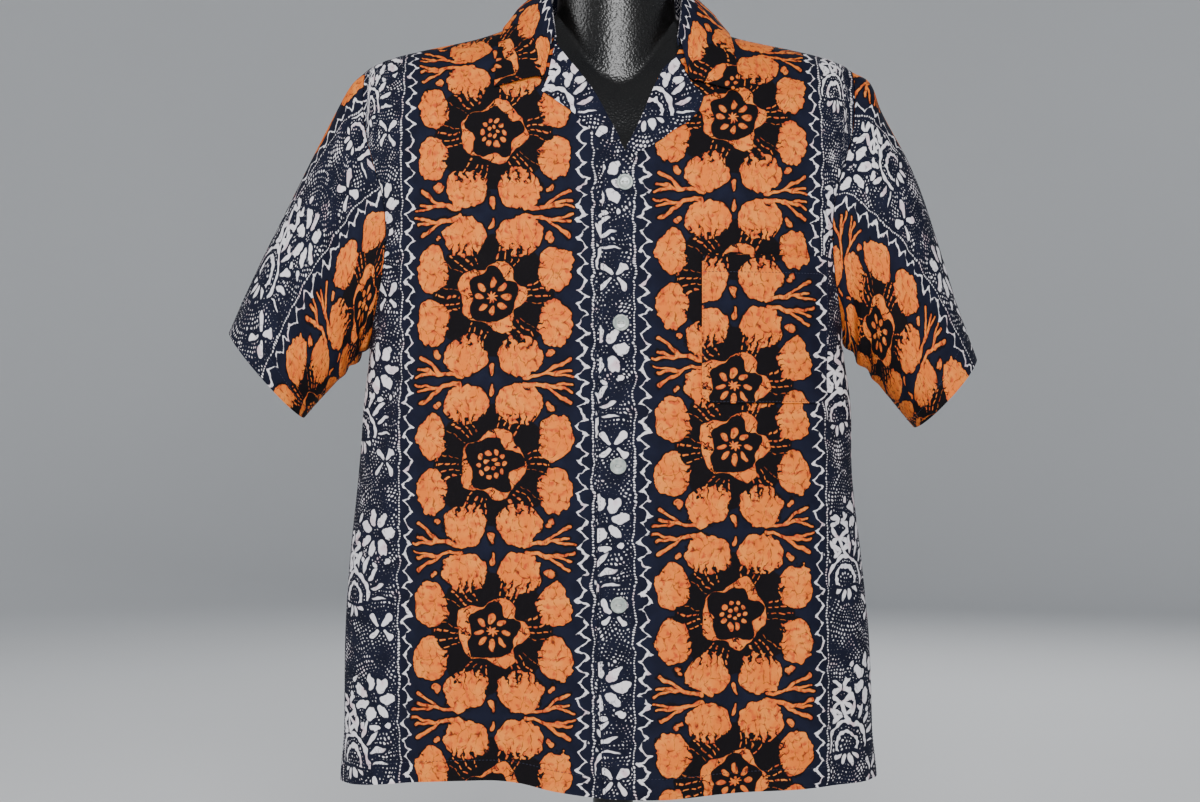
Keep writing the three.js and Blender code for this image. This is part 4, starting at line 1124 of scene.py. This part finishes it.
def cotton_material():
    """Printed cotton. Its UV map holds flat cloth coordinates in millimetres."""
    material, inputs = new_material("batik_cotton")
    flat = add_node("UVMap", {}, uv_map="UVMap").outputs["UV"]
    u, v, _ = split(flat)
    shift = noise_field(flat, 0.055).outputs["Color"]
    su, sv, sw = split(shift)
    fine = Field(noise_field(flat, 0.19, 3.0).outputs[0]) - 0.5
    # the wax lines waver, and the whole print wanders a little
    waver = maths("MULTIPLY_ADD", fine, 1.1, (sw - 0.5) * 1.7)
    orange, dark, white = batik(u + (su - 0.5) * 9, v + (sv - 0.5) * 9, waver)
    place = vector_maths("MULTIPLY_ADD", shift, (16, 16, 0), vector_maths("MULTIPLY", flat, (1.25, 0.7, 1)))
    cells = add_node("TexVoronoi", {}, voronoi_dimensions="2D", feature="DISTANCE_TO_EDGE")
    feed(cells.inputs["Vector"], place)
    feed(cells.inputs["Scale"], 0.1)
    crack = Field(cells.outputs["Distance"]) * 10 - (fine * 2.2 + 0.16)
    ground = colour_mix(NAVY, NAVY_WORN, clamp(su * 2 - 0.5))
    ground = colour_mix(ground, INK, cover(dark, 0.9))
    warm = colour_mix(ORANGE, ORANGE_PALE, clamp(su * 4 - 1.7))
    warm = colour_mix(warm, ORANGE_DEEP, clamp(fine * 4 + maths("MULTIPLY_ADD", orange, 0.2, 0.45)))
    warm = colour_mix(warm, INK, cover(crack, 0.6) * 0.7)
    pale = colour_mix(WHITE, WHITE_PINK, clamp(sv * 6 - 3.4))
    colour = colour_mix(ground, warm, cover(orange))
    colour = colour_mix(colour, pale, cover(white) * (1 - cover(crack + 0.15, 0.5) * 0.45))
    feed(inputs["Base Color"], colour)
    feed(inputs["Roughness"], 0.85)
    feed(inputs["Specular IOR Level"], 0.15)
    weave = sine(u * 8.0) * sine(v * 8.0)
    height = maths("MULTIPLY_ADD", weave, 0.25, Field(noise_field(flat, 0.9, 3.0).outputs[0]))
    add_bump(inputs, height, 0.35, 0.00025)
    return material


def grained_material(name, low, high, mottle, grain, rough, bump, cells=False, metallic=0.0, coat=0.0):
    """A finish with mottled colour, uneven gloss and a fine grain; scales are per metre."""
    material, inputs = new_material(name)
    place = add_node("TexCoord", {}).outputs["Object"]
    cloud = Field(noise_field(place, mottle, 4.0, "3D").outputs[0])
    fine = Field(noise_field(place, grain, 3.0, "3D").outputs[0])
    feed(inputs["Base Color"], colour_mix(low, high, clamp(cloud * 2.4 - 0.7)))
    feed(inputs["Roughness"], cloud * (rough[1] - rough[0]) + fine * 0.06 + (rough[0] - 0.03))
    height = fine
    if cells:
        pebble = add_node("TexVoronoi", {}, feature="SMOOTH_F1")
        feed(pebble.inputs["Scale"], grain)
        feed(pebble.inputs["Vector"], place)
        height = fine * 0.4 - Field(pebble.outputs["Distance"])
    add_bump(inputs, height, 0.6, bump)
    feed(inputs["Metallic"], metallic)
    feed(inputs["Coat Weight"], coat)
    return material


def print_at(uv, name):
    """Slides the print to its place on a piece."""
    return uv - np.array(PRINT_PLACE[name], float)


def side_holder(side):
    limit = SEAM / 2 * MM

    def hold(co):
        co.y = side * max(side * co.y, limit)
        return co
    return hold


def cloth_piece(node, grid, uv, normals, held, rests_on, slot="cotton_print", around=False, **wall):
    obj = mesh_from_grid("cloth_" + node.removeprefix("shirt_"), grid, uv, normals, around=around, **wall)
    add_piece(obj, cotton, slot, node)
    closed = np.concatenate([grid, grid[:, :1]], 1) if around else grid
    one, two = closed[1:, 1:] - closed[:-1, :-1], closed[1:, :-1] - closed[:-1, 1:]
    area = np.linalg.norm(np.cross(one, two), axis=-1).sum() / 2
    width, length = (uv[..., k].max() - uv[..., k].min() for k in (0, 1))
    if node == "collar":
        width, length = length, width
    area = min(area, width * length)
    width * MM
    length * MM


def body_panel(name, points):
    """Drapes and builds one panel, and gives its outer face."""
    side, crease = (1, back_crease) if name == "back" else (-1, front_crease)
    uv = print_at(body_uv(points, side), name)
    normals = facing(points, grid_normals(points), (0, side, 0))
    # creases die out towards the side seams and armholes
    lengths = flat_lengths(points, 1)
    seam_away = lengths[:, -1:] - lengths
    if name == "back":
        seam_away = np.minimum(lengths, seam_away)
    moved = hold_side(drape(points, normals, crease(points) * smoothstep(seam_away, *SEAM_CALM)), side)
    cloth_piece("shirt_" + name, moved, uv, normals, "draped", ["torso_form"], hold=side_holder(side))
    return moved, normals


def on_grid(grid, row, column):
    """Reads a grid of points between its rows and columns."""
    row = np.clip(np.asarray(row, float), 0, grid.shape[0] - 1.001)
    column = np.clip(np.asarray(column, float), 0, grid.shape[1] - 1.001)
    r, c = np.floor(row).astype(int), np.floor(column).astype(int)
    return between(grid, r, c, (row - r)[..., None], (column - c)[..., None])


def beside_edge(grid, normals, rows, distance, from_end=False):
    """A line that keeps this far in from the first or last column."""
    lengths = flat_lengths(grid[:, ::-1] if from_end else grid, 1)
    columns = np.array([np.interp(distance, row, np.arange(len(row))) for row in lengths])
    columns = grid.shape[1] - 1 - columns if from_end else columns
    return grid, normals, rows, np.interp(rows, np.arange(len(columns)), columns)


def stitch_line(bm, grid, normals, rows, columns, pitch=STITCH_PITCH, long=STITCH_LONG,
                radius=STITCH_RADIUS):
    """Sews a line of short stitches that lie on the cloth."""
    rows, columns = np.broadcast_arrays(np.asarray(rows, float), np.asarray(columns, float))
    line = on_grid(grid, rows, columns)
    out = unit(on_grid(normals, rows, columns))
    length = line_length(line)

    def at(values, where):
        return np.array([np.interp(where, length, values[:, k]) for k in range(3)])
    for i in range(int(length[-1] / pitch)):
        start = (i + 0.15) * pitch
        head, tail = at(line, start), at(line, start + long)
        forward = unit(tail - head)
        up = at(out, start + long / 2)
        up = unit(up - forward * (up @ forward))
        side = np.cross(up, forward)
        place = (head + tail) / 2 + up * radius * 0.35 + np.array([0, 0, HEM_LEVEL])
        matrix = Matrix.Identity(4)
        for k, (axis, size) in enumerate(((forward, long / 2), (side, radius), (up, radius))):
            matrix.col[k][:3] = axis * size * MM
        matrix.col[3][:3] = place * MM
        bmesh.ops.create_icosphere(bm, subdivisions=1, radius=1, matrix=matrix)


def add_sewing(name, lines):
    bm = bmesh.new()
    for line in lines:
        stitch_line(bm, *line)
    obj = finish_mesh(name, bm, sharp=180)
    return add_piece(obj, navy_thread, "cotton_print")


def add_ball(bm, seat, place, size, subdivisions):
    matrix = Matrix.Diagonal((*(axis * MM for axis in size), 1))
    matrix.translation = Vector([each * MM for each in place])
    bmesh.ops.create_icosphere(bm, subdivisions=subdivisions, radius=1, matrix=seat @ matrix)


def add_peg(bm, seat, place, radius, depth, segments):
    matrix = seat @ Matrix.Translation([each * MM for each in place])
    bmesh.ops.create_cone(bm, cap_ends=True, segments=segments, radius1=radius * MM, radius2=radius * MM,
                          depth=depth * MM, matrix=matrix)


def button_mesh():
    """A two-hole shell button that lies flat at the origin."""
    disc = turned_solid("button_blank", BUTTON_OUTLINE, 96)
    cutter_bm = bmesh.new()
    for side in (-1, 1):
        add_peg(cutter_bm, Matrix.Identity(4), (side * BUTTON_HOLE_OUT, 0, 0), BUTTON_HOLE_RADIUS, 6, 24)
    cutter = finish_mesh("button_drill", cutter_bm)
    drill = disc.modifiers.new("drill", "BOOLEAN")
    drill.operation = "DIFFERENCE"
    drill.solver = "EXACT"
    drill.object = cutter
    bpy.context.view_layer.update()
    mesh = bpy.data.meshes.new_from_object(disc.evaluated_get(bpy.context.evaluated_depsgraph_get()))
    for obj in (disc, cutter):
        bpy.data.objects.remove(obj)
    return mesh


def seat_matrix(x, h):
    """Where a button lies on the lap, with its face turned out."""
    seat = front_out(x, h, 0.0)
    out = unit(front_out(x, h, 1.0) - seat)
    matrix = Vector((0, 0, 1)).rotation_difference(Vector(out)).to_matrix().to_4x4()
    place = seat + out * (LAP_LIFT + 0.5 + BUTTON_THICK / 2 + float(front_crease(seat)))
    matrix.translation = Vector((place + np.array([0, 0, HEM_LEVEL])) * MM)
    return matrix


def area_light(name, place, target, size, power):
    data = bpy.data.lights.new(name, "AREA")
    data.shape = "RECTANGLE"
    data.size, data.size_y = size
    data.energy = power
    light = bpy.data.objects.new(name, data)
    light.location = place
    direction = Vector(target) - Vector(place)
    light.rotation_euler = direction.to_track_quat("-Z", "Y").to_euler()
    scene.collection.objects.link(light)


cotton = cotton_material()
shell = grained_material("pearl_shell", (0.27, 0.33, 0.31), (0.5, 0.52, 0.47), 260, 900,
                         (0.14, 0.3), 0.00006, coat=0.4)
gloss = grained_material("form_leather", (0.0025, 0.0025, 0.003), (0.006, 0.0055, 0.005), 18, 520,
                         (0.24, 0.33), 0.0006, cells=True)
stand = grained_material("stand_paint", (0.005, 0.005, 0.0055), (0.012, 0.012, 0.013), 30, 700,
                         (0.28, 0.4), 0.00012, metallic=0.3)
navy_thread = grained_material("navy_thread", (0.012, 0.015, 0.04), (0.03, 0.034, 0.07), 200, 1500,
                               (0.7, 0.9), 0.0001)
pale_thread = grained_material("pale_thread", (0.55, 0.56, 0.52), (0.75, 0.75, 0.7), 300, 1500,
                               (0.6, 0.8), 0.0001)

# The body panels
grids = {
    "front_right": front_grid(-1, lambda h: np.full(np.shape(h), float(UNDER_EDGE_X)), ROLL_RIGHT),
    "front_left": front_grid(1, lambda h: read(LAP_EDGE, "height", "x", h), ROLL_LEFT),
    "back": back_grid(),
}
grids["front_left"][..., 1] -= lap_lift(grids["front_left"][..., 0])
for name, points in grids.items():
    hold_side(points, 1 if name == "back" else -1)
panels = {name: body_panel(name, points) for name, points in grids.items()}

# The sleeves
sleeves = {}
for hand, rows, node in ((-1, SLEEVE_RIGHT, "sleeve_right"), (1, SLEEVE_LEFT, "sleeve_left")):
    loop = armhole_loop(grids["front_" + node[7:]], grids["back"], hand)
    grid, normals, along, turn = sleeve_grid(rows, hand, loop)
    down = flat_lengths(grid, 0).mean(1)
    ring = np.linalg.norm(np.roll(grid, -1, 1) - grid, axis=-1)
    around_length = np.concatenate([np.zeros((len(grid), 1)), np.cumsum(ring, axis=1)], axis=1)
    across = around_length[:, -1:] / 2 - around_length
    uv = print_at(np.stack([across, np.broadcast_to(-down[:, None], across.shape)], axis=-1), node)
    # the grain runs a little aslant to the sleeve's upper edge
    uv[..., 0] -= lerp(*SLEEVE_LEAN[node], along)[:, None]
    moved = drape(grid, normals, sleeve_crease(grid, along, turn, hand))
    cloth_piece(node, moved, uv, normals, "hung", ["cloth_front_" + node[7:], "cloth_back"], around=True)
    closed = [np.concatenate([each, each[:, :1]], 1) for each in (moved, normals)]
    sleeves[node] = (*closed, np.interp(down[-1] - CUFF_FOLD, down, np.arange(len(down))))

# The collar, lapels and pocket
lines = np.array([collar_line(share) for share in np.linspace(-1, 1, 121)])
normals = grid_normals(lines)
across = flat_lengths(lines, 1)
across = across - np.take_along_axis(across, lines[..., 2].argmax(1)[:, None], 1)
uv = print_at(np.stack([across, flat_lengths(lines, 0)[:, -1:] * np.ones(lines.shape[1])], axis=-1), "collar")
cloth_piece("collar", lines, uv, normals, "folded", ["cloth_front_right", "cloth_front_left", "cloth_back"],
            thickness=THIN_WALL)
collar_face = (lines, normals)

lapels = {}
for shape, node in ((LAPEL_RIGHT, "lapel_right"), (LAPEL_LEFT, "lapel_left")):
    grid = lapel_grid(shape)
    uv = print_at(grid[..., [0, 2]], node)
    normals = facing(grid, grid_normals(grid), (0, -1, 0))
    cloth_piece(node, grid, uv, normals, "folded", ["cloth_front_" + node[6:]], "cotton_facing",
                thickness=THIN_WALL)
    lapels[node] = (grid, normals)

v, u = np.meshgrid(np.linspace(0, 1, 49), np.linspace(0, 1, 43), indexing="ij")
x = lerp(POCKET["left"], POCKET["right"], u)
cut_corner = (1 - smoothstep(v, 0, 0.12)) * smoothstep(np.abs(u - 0.5), 0.42, 0.5)
h = lerp(POCKET["bottom"], POCKET["top"], v) + POCKET["corner"] * cut_corner
grid = front_out(x, h, CLOTH + POCKET["lift"] + front_crease(skin_point(x, h, -1)))
pocket_face = (grid, facing(grid, grid_normals(grid), (0, -1, 0)))
uv = print_at(grid[..., [0, 2]], "pocket")
cloth_piece("pocket", grid, uv, pocket_face[1], "laid", ["cloth_front_left"])

# The sewing
rise = UNDERARM / ROWS_LOW
for name, (grid, normals) in panels.items():
    lines = [(grid, normals, HEM_FOLD / rise, np.linspace(0, grid.shape[1] - 1, 400))]
    vent_rows = np.linspace(0.3, (VENT_HEIGHT + 8) / rise, 40)
    for last in ((False, True) if name == "back" else (True,)):
        lines.append(beside_edge(grid, normals, vent_rows, VENT_INSET, last))
    if name == "front_left":
        edge_end = int(np.argmax(grids[name][:, 0, 2] > EDGE_SEWN_TO))
        lines.append(beside_edge(grid, normals, np.linspace(0.3, edge_end, 500), EDGE_INSET))
    add_sewing("sewing_" + name, lines)
for node, (grid, normals, row) in sleeves.items():
    add_sewing("sewing_" + node, [(grid, normals, row, np.linspace(0, grid.shape[1] - 1, 500))])
grid, normals = collar_face
add_sewing("sewing_collar", [beside_edge(grid, normals, np.arange(4, grid.shape[0] - 4), LEAF_INSET, True)])
for node, (grid, normals) in lapels.items():
    rows = np.linspace(3, grid.shape[0] - 6, 120)
    add_sewing("sewing_" + node, [beside_edge(grid, normals, rows, LEAF_INSET, True)])
grid, normals = pocket_face
last_row, last_column = grid.shape[0] - 1, grid.shape[1] - 1
in_row = POCKET["inset"] / (POCKET["top"] - POCKET["bottom"]) * last_row
in_column = POCKET["inset"] / (POCKET["right"] - POCKET["left"]) * last_column
down = np.linspace(last_row - 0.4, in_row, 80)
path_rows = np.concatenate([down, np.full(60, in_row), down[::-1]])
path_columns = np.concatenate([np.full(80, in_column), np.linspace(in_column, last_column - in_column, 60),
                               np.full(80, last_column - in_column)])
hem_row = last_row * (1 - POCKET["hem"] / (POCKET["top"] - POCKET["bottom"]))
add_sewing("sewing_pocket", [(grid, normals, path_rows, path_columns),
                             (grid, normals, hem_row, np.linspace(0.5, last_column - 0.5, 80))])

# Buttons, each with its thread, over a sewn buttonhole
blank = button_mesh()
for i, (x, h) in enumerate(BUTTONS):
    seat = seat_matrix(x, h)
    bm = bmesh.new()
    bm.from_mesh(blank)
    bmesh.ops.transform(bm, matrix=seat, verts=bm.verts[:])
    add_piece(finish_mesh(f"shell_button_{i + 1}", bm), shell, "pearl_button", f"button_{i + 1}")
    bm = bmesh.new()
    for across in (-0.38, 0.0, 0.38):
        add_ball(bm, seat, (0, across, 0.3), (BUTTON_HOLE_OUT + 0.3, 0.2, 0.3), 3)
    for side in (-1, 1):
        add_peg(bm, seat, (side * BUTTON_HOLE_OUT, 0, -0.75), 0.55, 1.6, 14)
    add_piece(finish_mesh(f"thread_button_{i + 1}", bm, sharp=60), pale_thread, "cotton_print")
    bm = bmesh.new()
    for side in (-1, 1):
        for step in np.arange(-8.7, 8.8, 0.62):
            add_ball(bm, seat, (step, side * 0.95, -(BUTTON_THICK / 2 + 0.38)), (0.27, 0.85, 0.27), 1)
    add_piece(finish_mesh(f"buttonhole_{i + 1}", bm, sharp=180), navy_thread, "cotton_print")
bpy.data.meshes.remove(blank)

# The display form and its stand
add_piece(closed_rings("torso_form", form_rings(), sharp=50), gloss, "form_black", "form_torso")
pole_top = HEM_LEVEL + FORM["height"][0] - SEAM
pole = turned_solid("pole_tube", [(0, BASE_THICK + SEAM), (POLE_RADIUS - 0.8, BASE_THICK + SEAM),
                                  (POLE_RADIUS, BASE_THICK + SEAM + 0.8), (POLE_RADIUS, pole_top - 0.8),
                                  (POLE_RADIUS - 0.8, pole_top), (0, pole_top)])
add_piece(pole, stand, "stand_black", "stand_pole")
base_outline = [(0, 0), (BASE_RADIUS - 0.6, 0), (BASE_RADIUS, 0.6), (BASE_RADIUS, BASE_THICK - BASE_EDGE)]
for turn in np.linspace(0, QUARTER, 7)[1:]:
    base_outline.append((BASE_RADIUS - BASE_EDGE * (1 - math.cos(turn)),
                         BASE_THICK - BASE_EDGE * (1 - math.sin(turn))))
base = turned_solid("base_plate", [*base_outline, (0, BASE_THICK)], 160)
add_piece(base, stand, "stand_black", "stand_base")

# Camera, floor and light
scene = bpy.context.scene
camera = bpy.data.objects.new("camera", bpy.data.cameras.new("camera"))
scene.collection.objects.link(camera)
scene.camera = camera
camera.location = (-0.0123, -2.1, 0.506)
camera.rotation_euler = (QUARTER, 0, 0)
camera.data.lens = PHOTO_FOCAL / PHOTO_WIDE * SENSOR
camera.data.sensor_width = SENSOR

floor_outline = [(0, 0), (FLOOR_FLAT, 0)]
for turn in np.linspace(0, QUARTER, 13)[1:]:
    floor_outline.append((FLOOR_FLAT + FLOOR_BEND * math.sin(turn), FLOOR_BEND * (1 - math.cos(turn))))
floor = turned_solid("studio_floor", [*floor_outline, (FLOOR_FLAT + FLOOR_BEND, FLOOR_TOP)], 128)
floor.data.flip_normals()
floor.data.materials.append(grained_material("floor_paint", (0.72, 0.73, 0.74), (0.76, 0.77, 0.78), 0.6, 40,
                                             (0.7, 0.9), 0.0002))


area_light("front_softbox", (0.1, -2.7, 1.35), (0, 0, 0.6), (1.3, 1.1), 76)
area_light("side_fill", (-2.5, -0.7, 1.5), (0, 0, 0.6), (0.8, 1.4), 22)
area_light("rear_softbox", (0.6, 2.3, 1.9), (0, 0, 0.6), (1.6, 1.2), 30)
world = bpy.data.worlds.new("studio")
world.use_nodes = True
world.node_tree.nodes["Background"].inputs["Color"].default_value = (0.8, 0.84, 0.9, 1)
world.node_tree.nodes["Background"].inputs["Strength"].default_value = 0.36
scene.world = world
